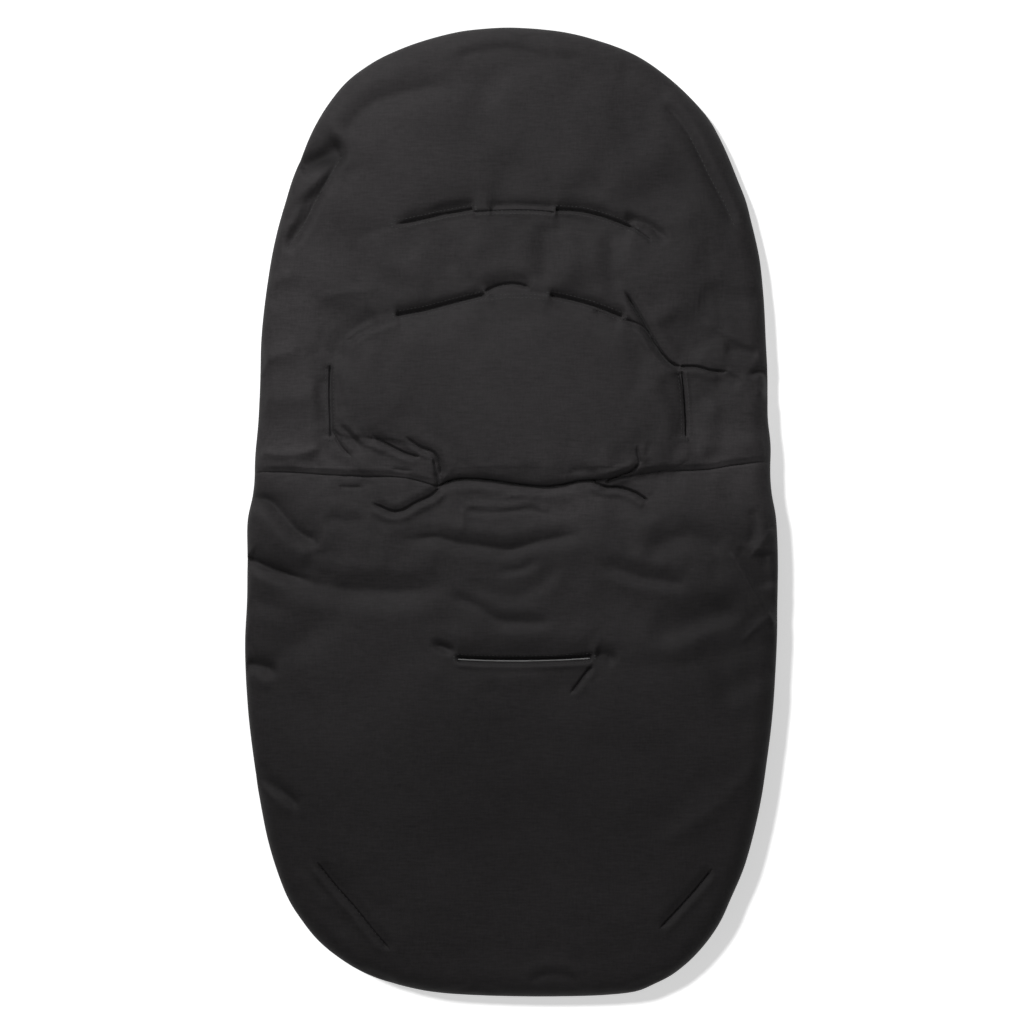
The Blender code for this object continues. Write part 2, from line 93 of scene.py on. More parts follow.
def base_plane(y):
    """Height of the back's outer plane: level over the seat, sloping down from the cross seam to the head end."""
    return BACK_TOP - math.tan(TILT) * np.maximum(0.0, y - SEAM_Y)


def at(px, py, up=0.0):
    """A point of the tables in row millimetres, as the camera sees it on the outer face. up is its height over that face."""
    x, y = (px - 512.0) * PX, (511.5 - py) * PX
    far = (CAMERA_UP - float(base_plane(y)) - up) / (CAMERA_UP - PLANE_UP)
    return x * far, y * far


# ---------------------------------------------------------------- outline of the back: (row, left, right)
OUTLINE_ROWS = (
    (30, 467, 553), (34, 446, 576), (42, 418, 604), (50, 397, 626), (60, 376, 645), (80, 348, 672),
    (100, 331, 693), (120, 318, 710), (140, 308, 721), (160, 300, 730), (180, 292, 738), (200, 286, 746),
    (220, 280, 751), (240, 275, 756), (260, 271, 760), (300, 265, 764), (340, 261, 766), (380, 260, 768),
    (420, 258, 768), (450, 255, 771), (478, 254, 770.5), (498, 251, 772), (518, 247.5, 776), (560, 247.5, 778),
    (600, 247, 777.5), (640, 245, 777), (680, 246, 775), (720, 249, 772), (760, 254, 767), (800, 260, 761),
    (840, 268, 752), (870, 277, 743), (900, 289, 730), (920, 302, 721), (940, 318, 708), (960, 343, 690),
    (975, 370, 671), (984, 398, 653), (990, 424, 640), (994, 462, 612),
)


def catmull(points, per_span, closed=False):
    pts = [np.array(p, float) for p in points]
    n, out = len(pts), []
    for i in range(n if closed else n - 1):
        p1, p2 = pts[i], pts[(i + 1) % n]
        p0 = pts[i - 1] if (closed or i) else 2 * p1 - p2
        p3 = pts[(i + 2) % n] if (closed or i + 2 < n) else 2 * p2 - p1
        t1 = max(np.linalg.norm(p1 - p0), 1e-6) ** 0.5
        t2 = t1 + max(np.linalg.norm(p2 - p1), 1e-6) ** 0.5
        t3 = t2 + max(np.linalg.norm(p3 - p2), 1e-6) ** 0.5
        for k in range(per_span):
            t = t1 + (t2 - t1) * k / per_span
            a1 = p0 * (t1 - t) / t1 + p1 * t / t1
            a2 = p1 * (t2 - t) / (t2 - t1) + p2 * (t - t1) / (t2 - t1)
            a3 = p2 * (t3 - t) / (t3 - t2) + p3 * (t - t2) / (t3 - t2)
            b1 = a1 * (t2 - t) / t2 + a2 * t / t2
            b2 = a2 * (t3 - t) / (t3 - t1) + a3 * (t - t1) / (t3 - t1)
            out.append(b1 * (t2 - t) / (t2 - t1) + b2 * (t - t1) / (t2 - t1))
    if not closed:
        out.append(pts[-1])
    return np.array(out)


def resample(curve, count, closed):
    pts = np.vstack([curve, curve[:1]]) if closed else curve
    s = np.concatenate([[0], np.cumsum(np.linalg.norm(np.diff(pts, axis=0), axis=1))])
    t = np.linspace(0, s[-1], count + 1)[:-1] if closed else np.linspace(0, s[-1], count)
    return np.stack([np.interp(t, s, pts[:, 0]), np.interp(t, s, pts[:, 1])], axis=1)


def make_outline():
    """The outline, counter-clockwise from the head end, with inward normals."""
    left = [at(l, y, -13) for y, l, _ in OUTLINE_ROWS]
    right = [at(r, y, -13) for y, _, r in OUTLINE_ROWS]
    pts = [at(510, 27, -13)] + left + [at(548, 996, -13)] + right[::-1]
    curve = resample(catmull(pts, 8, closed=True), 2400, True)
    for _ in range(3):  # evens out the reading error of the table
        k = 5
        pad = np.vstack([curve[-k:], curve, curve[:k]])
        kernel = np.hanning(2 * k + 3)[1:-1]
        kernel /= kernel.sum()
        curve = np.stack([np.convolve(pad[:, i], kernel, "valid") for i in (0, 1)], axis=1)
    step = np.roll(curve, -1, axis=0) - np.roll(curve, 1, axis=0)
    step /= np.linalg.norm(step, axis=1)[:, None]
    return curve, np.stack([-step[:, 1], step[:, 0]], axis=1)


OUT, OUT_N = make_outline()


# ---------------------------------------------------------------- fields on the plane
def lattice(x, y, cell, seed):
    """Smooth noise from -1 to 1 with a given cell size."""
    rng = np.random.RandomState(seed)
    grid = rng.uniform(-1, 1, (256, 256))
    u, v = x / cell + 91.3, y / cell + 57.7
    i, j = np.floor(u).astype(int), np.floor(v).astype(int)
    f, g = u - i, v - j
    f, g = f * f * f * (f * (f * 6 - 15) + 10), g * g * g * (g * (g * 6 - 15) + 10)
    a = grid[i % 256, j % 256] * (1 - f) + grid[(i + 1) % 256, j % 256] * f
    b = grid[i % 256, (j + 1) % 256] * (1 - f) + grid[(i + 1) % 256, (j + 1) % 256] * f
    return (a * (1 - g) + b * g) * 1.4


class Field:
    """Distance from the outline, on a grid, read by bilinear interpolation."""

    def __init__(self, curve, cell=3.0):
        self.lo = curve.min(0) - 24
        hi = curve.max(0) + 24
        self.cell = cell
        nx, ny = ((hi - self.lo) / cell).astype(int) + 2
        gx, gy = np.meshgrid(self.lo[0] + np.arange(nx) * cell, self.lo[1] + np.arange(ny) * cell, indexing="ij")
        best = np.full(gx.shape, 1e9)
        for k in range(0, len(curve), 40):
            part = curve[k : k + 40]
            d = (gx[..., None] - part[:, 0]) ** 2 + (gy[..., None] - part[:, 1]) ** 2
            best = np.minimum(best, d.min(-1))
        self.grid = np.sqrt(best)

    def __call__(self, x, y):
        u = np.clip((x - self.lo[0]) / self.cell, 0, self.grid.shape[0] - 1.001)
        v = np.clip((y - self.lo[1]) / self.cell, 0, self.grid.shape[1] - 1.001)
        i, j = u.astype(int), v.astype(int)
        f, g = u - i, v - j
        q = self.grid
        return (q[i, j] * (1 - f) + q[i + 1, j] * f) * (1 - g) + (q[i, j + 1] * (1 - f) + q[i + 1, j + 1] * f) * g


EDGE = Field(OUT)


def smooth(t):
    t = np.clip(t, 0, 1)
    return t * t * (3 - 2 * t)


def quarter(t):
    """Height of a quarter circle, from 0 at t = 0 to 1 at t = 1."""
    t = np.clip(t, 0, 1)
    return np.sqrt(1 - (1 - t) ** 2)


def along(x, y, curve):
    """(distance, signed distance, distance along) from points to a polyline. Positive lies left of its direction."""
    a, b = curve[:-1], curve[1:]
    ab = b - a
    length = np.linalg.norm(ab, axis=1)
    start = np.concatenate([[0], np.cumsum(length)])[:-1]
    best = np.full(x.shape, 1e9)
    sign = np.zeros(x.shape)
    s = np.zeros(x.shape)
    for k in range(len(a)):
        px, py = x - a[k, 0], y - a[k, 1]
        t = np.clip((px * ab[k, 0] + py * ab[k, 1]) / max(length[k] ** 2, 1e-9), 0, 1)
        dx, dy = px - t * ab[k, 0], py - t * ab[k, 1]
        d = dx * dx + dy * dy
        near = d < best
        best = np.where(near, d, best)
        sign = np.where(near, np.sign(ab[k, 0] * py - ab[k, 1] * px), sign)
        s = np.where(near, start[k] + t * length[k], s)
    best = np.sqrt(best)
    return best, best * sign, s


class Fold:
    """A crease, fold or sunk seam along a curve of the tables, listed from left to right where it runs across.

    depth and width are the narrow groove, dip and dip_width the broad hollow round it; a negative one is a ridge. skew
    widens the hollow's left side (the head side) and narrows the other; ledge, as (drop, length), replaces the other side
    by fabric that starts lower and rises slowly. rolls lift the fabric beside it: (height, offset, width), with a positive
    offset on the left of the curve's direction.
    """

    def __init__(self, points, depth, width, dip=0.0, dip_width=10.0, fade=(12.0, 12.0), rolls=(), sharp=2.0, skew=1.0, ledge=None):
        smoothed = catmull([at(*p) for p in points], 8)
        total = np.linalg.norm(np.diff(smoothed, axis=0), axis=1).sum()
        self.curve = resample(smoothed, max(8, int(total / 3.0)), False)
        self.total = total
        self.fine = depth >= 1.6 and width <= 2.0
        if dip_width >= 7.0:
            dip, rolls = dip * 1.3, tuple((h * 1.3, o, w) for h, o, w in rolls)
        self.depth, self.width, self.dip, self.dip_width = depth, width * 0.58 if self.fine else width, dip, dip_width
        self.fade, self.rolls, self.sharp, self.skew, self.ledge = fade, rolls, sharp, skew, ledge
        reach = max(3.2 * width, 2.6 * dip_width * max(skew, 1) if dip else 0, *(abs(o) + 2.8 * w for _, o, w in rolls), 3.0 * ledge[1] if ledge else 1.0)
        self.lo, self.hi = self.curve.min(0) - reach, self.curve.max(0) + reach

    def add(self, x, y, z):
        inside = (x > self.lo[0]) & (x < self.hi[0]) & (y > self.lo[1]) & (y < self.hi[1])
        if not inside.any():
            return
        d, signed, s = along(x[inside], y[inside], self.curve)
        taper = smooth(s / max(self.fade[0], 1e-3)) * smooth((self.total - s) / max(self.fade[1], 1e-3))
        change = -self.depth * np.exp(-((d / self.width) ** self.sharp))
        if self.dip:
            wide = np.where(signed > 0, self.dip_width * self.skew, self.dip_width / self.skew)
            hollow = self.dip * np.exp(-((d / wide) ** 2))
            if self.ledge:
                hollow = np.where(signed > 0, hollow, self.ledge[0] * np.exp(-((d / self.ledge[1]) ** 1.3)))
            change -= hollow
        for height, offset, width in self.rolls:
            change += height * np.exp(-(((signed - offset) / width) ** 2))
        z[inside] += change * taper


SEAM_PX = (
    (254, 471.5), (290, 472), (325, 474.5), (365, 476), (390, 476.5), (408, 478), (424, 482), (438, 485.5), (448, 481),
    (461, 478.3), (485, 479), (505, 481.8), (525, 484.8), (548, 486), (566, 483.5), (580, 480.5), (596, 479.5), (615, 477.5),
    (640, 474), (660, 471), (685, 470), (710, 469), (735, 464.5), (770, 461),
)
SEAM = catmull([at(*p) for p in SEAM_PX], 8)


def seam_offset(x):
    """How far the cross seam lies from its straight line, at x."""
    return np.interp(x, SEAM[:, 0], SEAM[:, 1]) - SEAM_Y


# Slots, with their curves from left to right or from head to foot
SLOTS = (
    ("shoulder_slot_top_left", ((394, 224.5), (420, 219), (445, 213.5), (474, 208.5))),
    ("shoulder_slot_top_right", ((555, 209), (580, 210.5), (606, 217), (636, 228.5))),
    ("shoulder_slot_low_left", ((395, 315), (425, 309.5), (452, 302.5), (486, 294))),
    ("shoulder_slot_low_right", ((549, 294.5), (575, 300), (600, 307.5), (624, 317))),
    ("lap_slot_left", ((330, 364), (329.3, 390), (330, 415), (330.5, 438))),
    ("lap_slot_right", ((682, 370), (684.3, 392), (685.6, 415), (686, 438))),
    ("crotch_slot", ((456, 658.0), (490, 659.4), (530, 659.6), (565, 658.6), (593, 657.0))),
)

FOLDS = [
    # ---- head end
    Fold(((300, 169), (314, 161), (330, 153), (345, 141)), 4.8, 6.6, 5.2, 12.0, (4, 10), ((1.4, -13.0, 6.0),), skew=1.3),
    Fold(((345, 136), (355, 118), (372, 103), (400, 93), (435, 87), (468, 86)), 1.0, 4.5, 1.9, 12.0, (10, 40), ((0.8, 14.0, 10.0),), skew=1.2),
    Fold(((343, 152), (330, 175), (317, 197), (305, 221), (294, 238), (284, 252)), 2.0, 2.4, 2.2, 7.0, (5, 10), ((1.6, -7.5, 5.0), (0.5, 6.5, 5.0)), skew=0.8),
    Fold(((320, 186), (308, 200), (298, 222), (287, 243)), 1.8, 3.0, 1.4, 7.0, (10, 6), ((1.5, -8.0, 5.0),)),
    Fold(((306, 196), (296, 206), (286, 224)), 1.3, 3.0, 0.8, 6.0, (6, 5), ((1.0, 6.0, 4.0),)),
    Fold(((452, 58), (485, 50), (515, 49), (537, 54), (560, 58), (584, 59)), 0.8, 2.6, 0.8, 8.0, (12, 14), ((0.9, 8.0, 6.0),)),
    Fold(((520, 36), (545, 44), (556, 56)), 0.8, 3.0, 0.5, 6.0, (6, 8), ((0.7, 6.0, 5.0),)),
    Fold(((612, 68), (640, 73), (658, 84), (668, 102)), 0.6, 4.0, 0.9, 10.0, (14, 10)),
    Fold(((664, 101), (685, 127), (700, 155), (710, 176), (726, 205), (737, 230)), 1.2, 2.2, 1.5, 8.0, (12, 16), ((1.3, 8.0, 6.0), (0.5, -9.0, 7.0))),
    # ---- upper row of slots: the two slits, the sewn line between them, the fold that runs on
    Fold(SLOTS[0][1], 4.5, 2.0, 5.4, 5.0, (14, 2), ((0.8, -3.2, 1.6),), 2.6, skew=1.3, ledge=(3.4, 12.0)),
    Fold(((420, 213), (446, 207), (474, 202)), 1.2, 2.8, 1.2, 5.0, (20, 3)),
    Fold(((489, 207), (505, 206), (530, 206), (556, 207)), 1.9, 2.2, 3.6, 5.0, (3, 3), skew=1.3, ledge=(2.0, 10.0)),
    Fold(((472, 211.5), (500, 210), (535, 210), (556, 212)), 1.7, 1.0, 0.5, 4.0, (3, 3), ((0.7, -3.2, 1.6), (0.4, 2.6, 1.5))),
    Fold(SLOTS[1][1], 4.5, 2.0, 5.6, 5.0, (2, 6), ((0.8, -3.2, 1.6),), 2.6, skew=1.3, ledge=(3.4, 12.0)),
    Fold(((622, 216), (640, 222), (655, 230), (668, 242)), 2.4, 2.4, 3.6, 5.0, (8, 10), ((0.8, 8.0, 4.0),), skew=1.2, ledge=(2.0, 9.0)),
    Fold(((630, 226), (640, 232), (652, 241)), 1.6, 1.5, 0.4, 4.0, (4, 4), ((0.9, -3.4, 2.0),)),
    Fold(((352, 236), (372, 231), (394, 225)), 0.5, 2.4, 0.8, 8.0, (16, 6)),
    # ---- band between the rows
    Fold(((545, 222), (546, 245), (545, 268), (541, 286)), 0.6, 6.0, 1.3, 11.0, (10, 10), ((0.8, 20.0, 10.0), (0.6, -18.0, 9.0))),
    Fold(((606, 228), (612, 250), (612, 272), (622, 288)), 0.6, 5.0, 1.2, 10.0, (12, 10), ((0.7, -14.0, 8.0),)),
    Fold(((455, 232), (450, 255), (452, 276)), 0.3, 6.0, 0.8, 12.0, (12, 12), ((0.6, 16.0, 9.0),)),
    Fold(((388, 262), (398, 285), (392, 300)), 0.3, 5.0, 0.8, 11.0, (12, 12), ((0.5, 13.0, 8.0),)),
    # ---- lower row
    Fold(SLOTS[2][1], 5.5, 2.0, 5.0, 4.4, (3, 4), ((0.8, -3.4, 1.7),), 2.6, skew=1.2, ledge=(3.2, 9.0)),
    Fold(((484, 292), (494, 286.5), (507, 283.5), (520, 284), (531, 288)), 3.4, 1.9, 3.8, 6.0, (5, 6), ((0.8, -3.6, 2.0),), skew=1.2, ledge=(2.4, 7.0)),
    Fold(((466, 270), (470, 282), (482, 291)), 0.5, 4.0, 1.0, 8.0, (10, 5)),
    Fold(((488, 296), (505, 294), (530, 294), (548, 296)), 0.9, 1.1, 0.4, 4.0, (4, 4), ((0.5, -3.0, 1.6),)),
    Fold(SLOTS[3][1], 5.5, 2.0, 5.0, 4.4, (3, 3), ((0.8, -3.4, 1.7),), 2.6, skew=1.2, ledge=(3.2, 9.0)),
    Fold(((592, 309), (606, 314), (620, 320)), 2.0, 1.8, 1.0, 4.0, (6, 3)),
    Fold(((620, 319), (632, 321), (643, 326), (652, 336)), 1.9, 1.5, 0.5, 4.0, (3, 4), ((0.8, -3.6, 2.2),)),
    Fold(((332, 356), (343, 337), (360, 324), (380, 314)), 0.5, 3.4, 1.5, 9.0, (6, 10), ((0.5, 10.0, 5.0),), skew=1.3),
    Fold(((346, 344), (362, 333), (380, 325), (398, 320)), 1.3, 1.7, 0.2, 5.0, (6, 4), ((0.9, -3.8, 2.2), (0.9, 3.6, 2.0))),
    # ---- long diagonal fold, and the folds that leave it for the right edge
    Fold(((624, 289), (635, 307), (647, 328), (660, 350), (672, 363), (683, 367)), 6.6, 1.9, 1.5, 7.0, (14, 8), ((1.8, -5.5, 3.4), (0.9, 8.0, 5.0)), skew=1.2),
    Fold(((626, 318), (643, 331), (658, 350)), 1.4, 1.8, 0.4, 5.0, (4, 8), ((0.9, -4.6, 3.0),)),
    Fold(((680, 366), (697, 366), (712, 370), (729, 371)), 4.0, 1.7, 0.8, 6.0, (3, 8), ((1.2, -5.0, 3.2), (0.6, 7.0, 5.0)), skew=1.2),
    Fold(((748, 376), (757, 371), (764, 371), (768, 382), (768, 402)), 2.6, 2.2, 1.4, 6.0, (6, 10), ((1.2, -6.0, 4.0),)),
    Fold(((664, 312), (678, 330), (692, 348), (706, 358)), 0.4, 7.0, 2.0, 14.0, (14, 14), ((1.0, 20.0, 9.0),)),
    Fold(((700, 316), (720, 330), (740, 340), (760, 350)), -1.2, 3.4, 0.0, 9.0, (12, 8)),
    Fold(((722, 350), (740, 349), (760, 355)), 1.0, 4.0, 1.4, 8.0, (8, 6)),
    Fold(((712, 378), (730, 376), (744, 384)), 0.6, 5.0, 1.2, 9.0, (8, 8)),
    Fold(((725, 367), (746, 380), (764, 396)), -1.1, 2.8, 0.0, 8.0, (6, 6)),
    Fold(((700, 408), (730, 404), (766, 408)), 0.0, 5.0, -1.5, 14.0, (12, 8)),
    Fold(((694, 449), (725, 446), (766, 442)), -0.4, 5.0, -1.3, 11.0, (10, 4)),
    Fold(((700, 285), (730, 296), (762, 300)), 0.3, 5.0, 0.9, 11.0, (14, 8), ((0.6, 12.0, 7.0),)),
    # ---- lap slots
    Fold(SLOTS[4][1], 4.4, 1.3, 1.8, 5.0, (4, 3), ((1.0, 3.6, 1.8),), 2.6, skew=0.8),
    Fold(SLOTS[5][1], 2.8, 1.0, 1.2, 5.0, (3, 4), ((1.0, 3.2, 1.6),), 2.6, skew=0.8),
    Fold(((661, 374), (672, 396), (679, 418), (681, 440)), 0.2, 4.0, 0.5, 8.0, (10, 8), ((0.5, -9.0, 6.0),)),
    Fold(((322, 372), (321, 400), (324, 430)), 0.4, 4.0, 0.8, 7.0, (10, 10)),
    # ---- left edge above the seam
    Fold(((268, 282), (285, 277), (304, 272)), -0.6, 4.0, -1.0, 9.0, (6, 14)),
    Fold(((262, 300), (290, 290), (315, 292)), 0.2, 5.0, 0.6, 9.0, (8, 14)),
    Fold(((262, 357), (280, 354), (304, 350)), -0.7, 4.6, -1.3, 9.0, (4, 14)),
    Fold(((259, 378), (265, 367), (274, 353)), -1.2, 2.2, 0.0, 8.0, (3, 6)),
    Fold(((262, 398), (290, 399), (321, 396)), -0.4, 6.0, -1.6, 12.0, (6, 8)),
    Fold(((258, 452), (280, 454), (302, 452), (322, 447)), -1.4, 3.2, -0.8, 8.0, (6, 6)),
    Fold(((292, 462), (305, 461), (322, 462)), 0.5, 3.0, 0.8, 7.0, (8, 8)),
    Fold(((316, 300), (335, 294), (362, 290), (385, 288)), -0.8, 3.0, -0.5, 8.0, (10, 14)),
    # ---- gathers at the left end of the deep part of the cross seam
    Fold(((331, 428), (341, 446), (353, 458)), 1.8, 1.9, 0.6, 5.0, (5, 8), ((1.2, 4.6, 2.6),)),
    Fold(((338, 424), (352, 436), (362, 450)), 1.2, 2.0, 0.4, 5.0, (6, 8), ((0.9, 4.4, 2.6),)),
    Fold(((350, 430), (368, 444), (388, 453)), -1.5, 2.4, 0.0, 8.0, (7, 8)),
    Fold(((371, 434), (390, 445), (408, 453.5), (421, 456.5)), 3.0, 1.6, 1.1, 5.0, (9, 5), ((1.6, -5.0, 2.8), (0.8, 6.0, 4.0)), skew=1.2),
    Fold(((405, 436), (421, 446.5), (434, 452), (440, 463), (442, 475)), 3.4, 1.6, 1.1, 5.0, (8, 4), ((1.6, -5.0, 2.8), (1.0, 6.0, 4.0)), skew=1.2),
    Fold(((433, 458), (436, 472), (439, 486)), 3.4, 1.5, 0.8, 5.0, (4, 3), ((1.2, -4.0, 2.4),)),
    Fold(((392, 468), (402, 470), (413, 470)), 1.0, 1.5, 0.4, 4.0, (3, 4)),
    Fold(((370, 502), (380, 506), (392, 511), (403, 509.5), (416, 502), (431, 495), (440, 487)), 2.8, 1.9, 1.6, 5.5, (10, 4), ((1.8, -5.5, 3.4), (1.2, 6.0, 4.0)), skew=1.2),
    Fold(((338, 486), (350, 487), (364, 487)), 1.0, 1.7, 0.4, 5.0, (4, 5), ((0.5, 4.0, 3.0),)),
    # ---- the branches at its right end
    Fold(((592, 479), (604, 486), (620, 487), (635, 492), (649, 501)), 5.2, 1.8, 1.0, 5.5, (4, 5), ((1.7, -5.0, 3.0), (1.0, 6.0, 4.0)), skew=1.2),
    Fold(((605, 482), (620, 475), (633, 470), (640, 462)), 4.0, 1.7, 0.5, 5.0, (3, 5), ((1.4, 5.0, 3.0), (1.0, -4.6, 2.6))),
    Fold(((637, 444), (638, 454), (641, 464)), 1.8, 2.0, 0.6, 5.0, (7, 3), ((0.9, 4.4, 3.0),)),
    Fold(((650, 438), (649, 448), (646, 458)), 1.0, 2.2, 0.3, 5.0, (6, 6)),
    Fold(((566, 472), (584, 470), (602, 474)), 0.6, 3.0, 1.0, 6.0, (8, 8)),
    # ---- below the cross seam
    Fold(((464, 510), (485, 511.5), (505, 511.5), (530, 509), (538, 511), (546, 516)), 0.9, 1.8, 0.4, 5.0, (5, 5), ((1.2, 5.0, 3.2), (0.5, -5.0, 3.0))),
    Fold(((498, 498), (512, 495), (526, 494.5), (536, 500)), -0.9, 2.0, 0.0, 6.0, (5, 5)),
    Fold(((398, 541), (420, 538), (436, 537), (456, 542), (485, 546), (508, 549), (535, 542), (563, 536.5), (588, 531)), 1.8, 2.6, 2.2, 9.0, (26, 26), ((1.2, 11.0, 7.0), (0.3, -10.0, 7.0)), skew=1.3),
    Fold(((462, 506), (463, 520), (460, 534)), -1.0, 3.0, 0.0, 6.0, (5, 6)),
    Fold(((498, 569), (514, 570.5), (529, 565.5), (536, 556)), 1.1, 2.4, 0.8, 7.0, (7, 6), ((0.6, -6.0, 4.0),)),
    Fold(((462, 578), (485, 590), (515, 596), (545, 580), (560, 560)), 0.5, 4.0, 0.8, 9.0, (14, 12), ((0.4, -10.0, 6.0),)),
    Fold(((448, 594), (478, 606), (496, 619), (522, 622), (556, 621)), 0.9, 2.4, 1.3, 8.0, (12, 16), ((0.7, 9.0, 5.5), (0.4, -9.0, 6.0))),
    Fold(((440, 632), (490, 634), (540, 632), (600, 634)), 0.0, 5.0, -0.9, 10.0, (20, 20)),
    Fold(((248, 496), (268, 500), (282, 514), (298, 531), (322, 544)), 1.8, 3.4, 3.0, 9.0, (3, 12), ((1.9, -13.0, 8.0),), skew=1.2),
    Fold(((322, 516), (345, 520), (370, 520)), 0.4, 3.6, 1.0, 8.0, (10, 12), ((0.6, 9.0, 6.0),)),
    Fold(((248, 557), (268, 566), (288, 574.5), (312, 582), (347, 588), (387, 591), (430, 588), (462, 577)), 0.8, 4.0, 2.6, 14.0, (3, 50), ((0.9, 17.0, 9.0), (0.9, -17.0, 10.0)), skew=1.2),
    Fold(((247, 556), (262, 564), (280, 571), (300, 577.5), (318, 581)), 2.8, 2.4, 1.4, 7.0, (1, 36), ((1.6, -10.0, 6.0), (0.6, 9.0, 6.0)), skew=1.2),
    Fold(((248, 600), (268, 604), (290, 612)), 0.2, 5.0, 1.3, 10.0, (4, 18)),
    Fold(((246, 663), (262, 666), (280, 673)), 2.4, 3.6, 2.2, 9.0, (4, 10), ((1.4, -11.0, 6.0),)),
    Fold(((246, 636), (280, 642), (320, 646)), 0.1, 4.0, 1.5, 14.0, (5, 24)),
    Fold(((430, 643), (442, 646), (454, 652)), 2.6, 3.0, 2.0, 7.0, (8, 4), ((0.8, -6.0, 4.0),)),
    # ---- folds at the right edge of the lower panel
    Fold(((598, 563), (620, 570), (645, 578), (690, 584)), 0.9, 3.4, 1.1, 9.0, (14, 14), ((1.1, 13.0, 7.0), (0.7, -9.0, 6.0)), skew=1.2),
    Fold(((644, 640), (668, 631), (693, 619), (722, 611), (746, 609)), 0.4, 6.0, 2.0, 14.0, (22, 18), ((1.1, -18.0, 9.0), (0.5, 20.0, 10.0))),
    Fold(((640, 553), (660, 544), (684, 537), (706, 540), (728, 549)), 0.4, 5.0, 1.5, 11.0, (18, 12), ((0.8, -14.0, 8.0),)),
    Fold(((729, 550), (742, 570), (752, 588), (762, 606), (776, 627)), -2.0, 2.2, 0.0, 8.0, (8, 4), ((-1.4, 9.0, 5.0),)),
    Fold(((773, 528), (762, 543), (750, 558)), -1.3, 2.0, 0.0, 8.0, (3, 6)),
    Fold(((774, 612), (760, 624), (738, 644)), -0.8, 2.2, 0.0, 8.0, (4, 12), ((-0.5, -8.0, 5.0),)),
    Fold(((764, 548), (764, 566), (770, 590)), 1.8, 5.0, 1.8, 9.0, (6, 8)),
    Fold(((752, 505), (756, 524), (748, 548)), 0.8, 3.6, 1.0, 8.0, (8, 8), ((0.6, 7.0, 4.0),)),
    Fold(((640, 652), (680, 642), (725, 626), (750, 620)), -0.7, 6.0, 0.0, 8.0, (18, 12)),
    Fold(((620, 664), (680, 662), (740, 650), (777, 640)), 0.2, 5.0, 1.1, 12.0, (20, 8)),
    # ---- crotch slot
    Fold(SLOTS[6][1], 7.0, 2.2, 2.8, 6.0, (3, 3), ((1.6, -5.0, 2.6),), 2.6, skew=1.7),
    Fold(((592, 665), (586, 672), (578, 683), (569, 695)), 2.4, 1.7, 1.0, 6.0, (3, 8), ((1.3, 4.6, 2.8),)),
    Fold(((594, 651), (606, 655), (618, 662)), 2.8, 3.0, 2.2, 8.0, (5, 8), ((0.8, -7.0, 4.0),)),
    Fold(((470, 672), (520, 678), (566, 674)), 0.0, 5.0, -0.8, 9.0, (16, 16)),
    # ---- foot end
    Fold(((712, 700), (748, 680), (777, 668)), 0.2, 6.0, 1.0, 12.0, (16, 8), ((0.8, -15.0, 9.0),)),
    Fold(((254, 771), (270, 784), (288, 796), (302, 808)), 1.6, 2.6, 1.4, 7.0, (4, 10), ((1.6, -7.5, 4.6),)),
    Fold(((657, 847), (700, 820), (742, 782), (762, 756)), -1.1, 7.0, 0.0, 8.0, (22, 10)),
    Fold(((630, 842), (676, 808), (720, 770)), 0.0, 7.0, 0.8, 13.0, (22, 16)),
    Fold(((316, 861), (335, 885), (355, 907.5), (373, 930), (391, 951)), 1.8, 1.3, 1.8, 6.5, (8, 9), ((1.5, -5.5, 3.4), (0.6, 7.0, 5.0)), skew=1.5),
    Fold(((300, 868), (312, 890), (332, 912)), -0.9, 5.0, 0.0, 8.0, (10, 10)),
    Fold(((336, 912), (344, 924), (340, 936)), 0.6, 3.0, 0.4, 6.0, (5, 5)),
    Fold(((659, 929), (677, 910), (695, 890), (713, 868)), 1.8, 1.3, 1.5, 6.0, (6, 6), ((1.1, -5.0, 3.2), (0.6, 6.5, 5.0)), skew=1.3),
    Fold(((528, 982), (545, 974), (566, 976), (580, 984)), 0.8, 3.0, 0.8, 7.0, (5, 5), ((0.7, 7.0, 5.0),)),
    Fold(((452, 992), (474, 986), (500, 991)), 0.8, 2.6, 0.4, 6.0, (4, 4)),
    Fold(((360, 968), (384, 977), (398, 986)), 0.8, 2.6, 0.4, 6.0, (4, 4)),
    Fold(((625, 988), (648, 981), (668, 972)), 0.8, 2.6, 0.4, 6.0, (4, 4)),
]

# Painted sheen (lighter) and painted shade (darker) patches on the outer fabric's colour: place, half widths, share
PAINTED_SHEEN_AND_SHADE = (
    (726, 448, 46, 40, 0.46), (308, 452, 60, 28, 0.40), (575, 460, 48, 14, 0.30), (572, 503, 62, 20, 0.42), (298, 300, 38, 76, 0.40),
    (404, 462, 40, 22, 0.18), (716, 672, 64, 36, -0.16), (283, 342, 16, 14, 0.18), (296, 382, 26, 13, 0.16), (300, 446, 26, 6, 0.16), (735, 610, 50, 40, -0.24), (264, 499, 22, 9, -0.50), (610, 655, 22, 10, -0.26), (324, 159, 23, 10, -0.62),
    (700, 185, 40, 60, -0.16), (530, 299, 30, 10, -0.22), (512, 795, 290, 165, -0.27), (512, 478, 400, 38, 0.17), (745, 395, 50, 70, 0.12), (285, 760, 30, 90, -0.12), (405, 800, 40, 120, 0.10), (268, 652, 22, 12, -0.28), (654, 302, 30, 30, 0.20),
)


def painted_sheen_and_shade(x, y):
    """Share of painted sheen (positive) or painted shade (negative) added to the outer fabric's colour at a place."""
    out = np.zeros(np.shape(x))
    for px, py, rx, ry, share in PAINTED_SHEEN_AND_SHADE:
        cx, cy = at(px, py)
        out += share * np.exp(-(((x - cx) / (rx * PX)) ** 2 + ((y - cy) / (ry * PX)) ** 2))
    return out


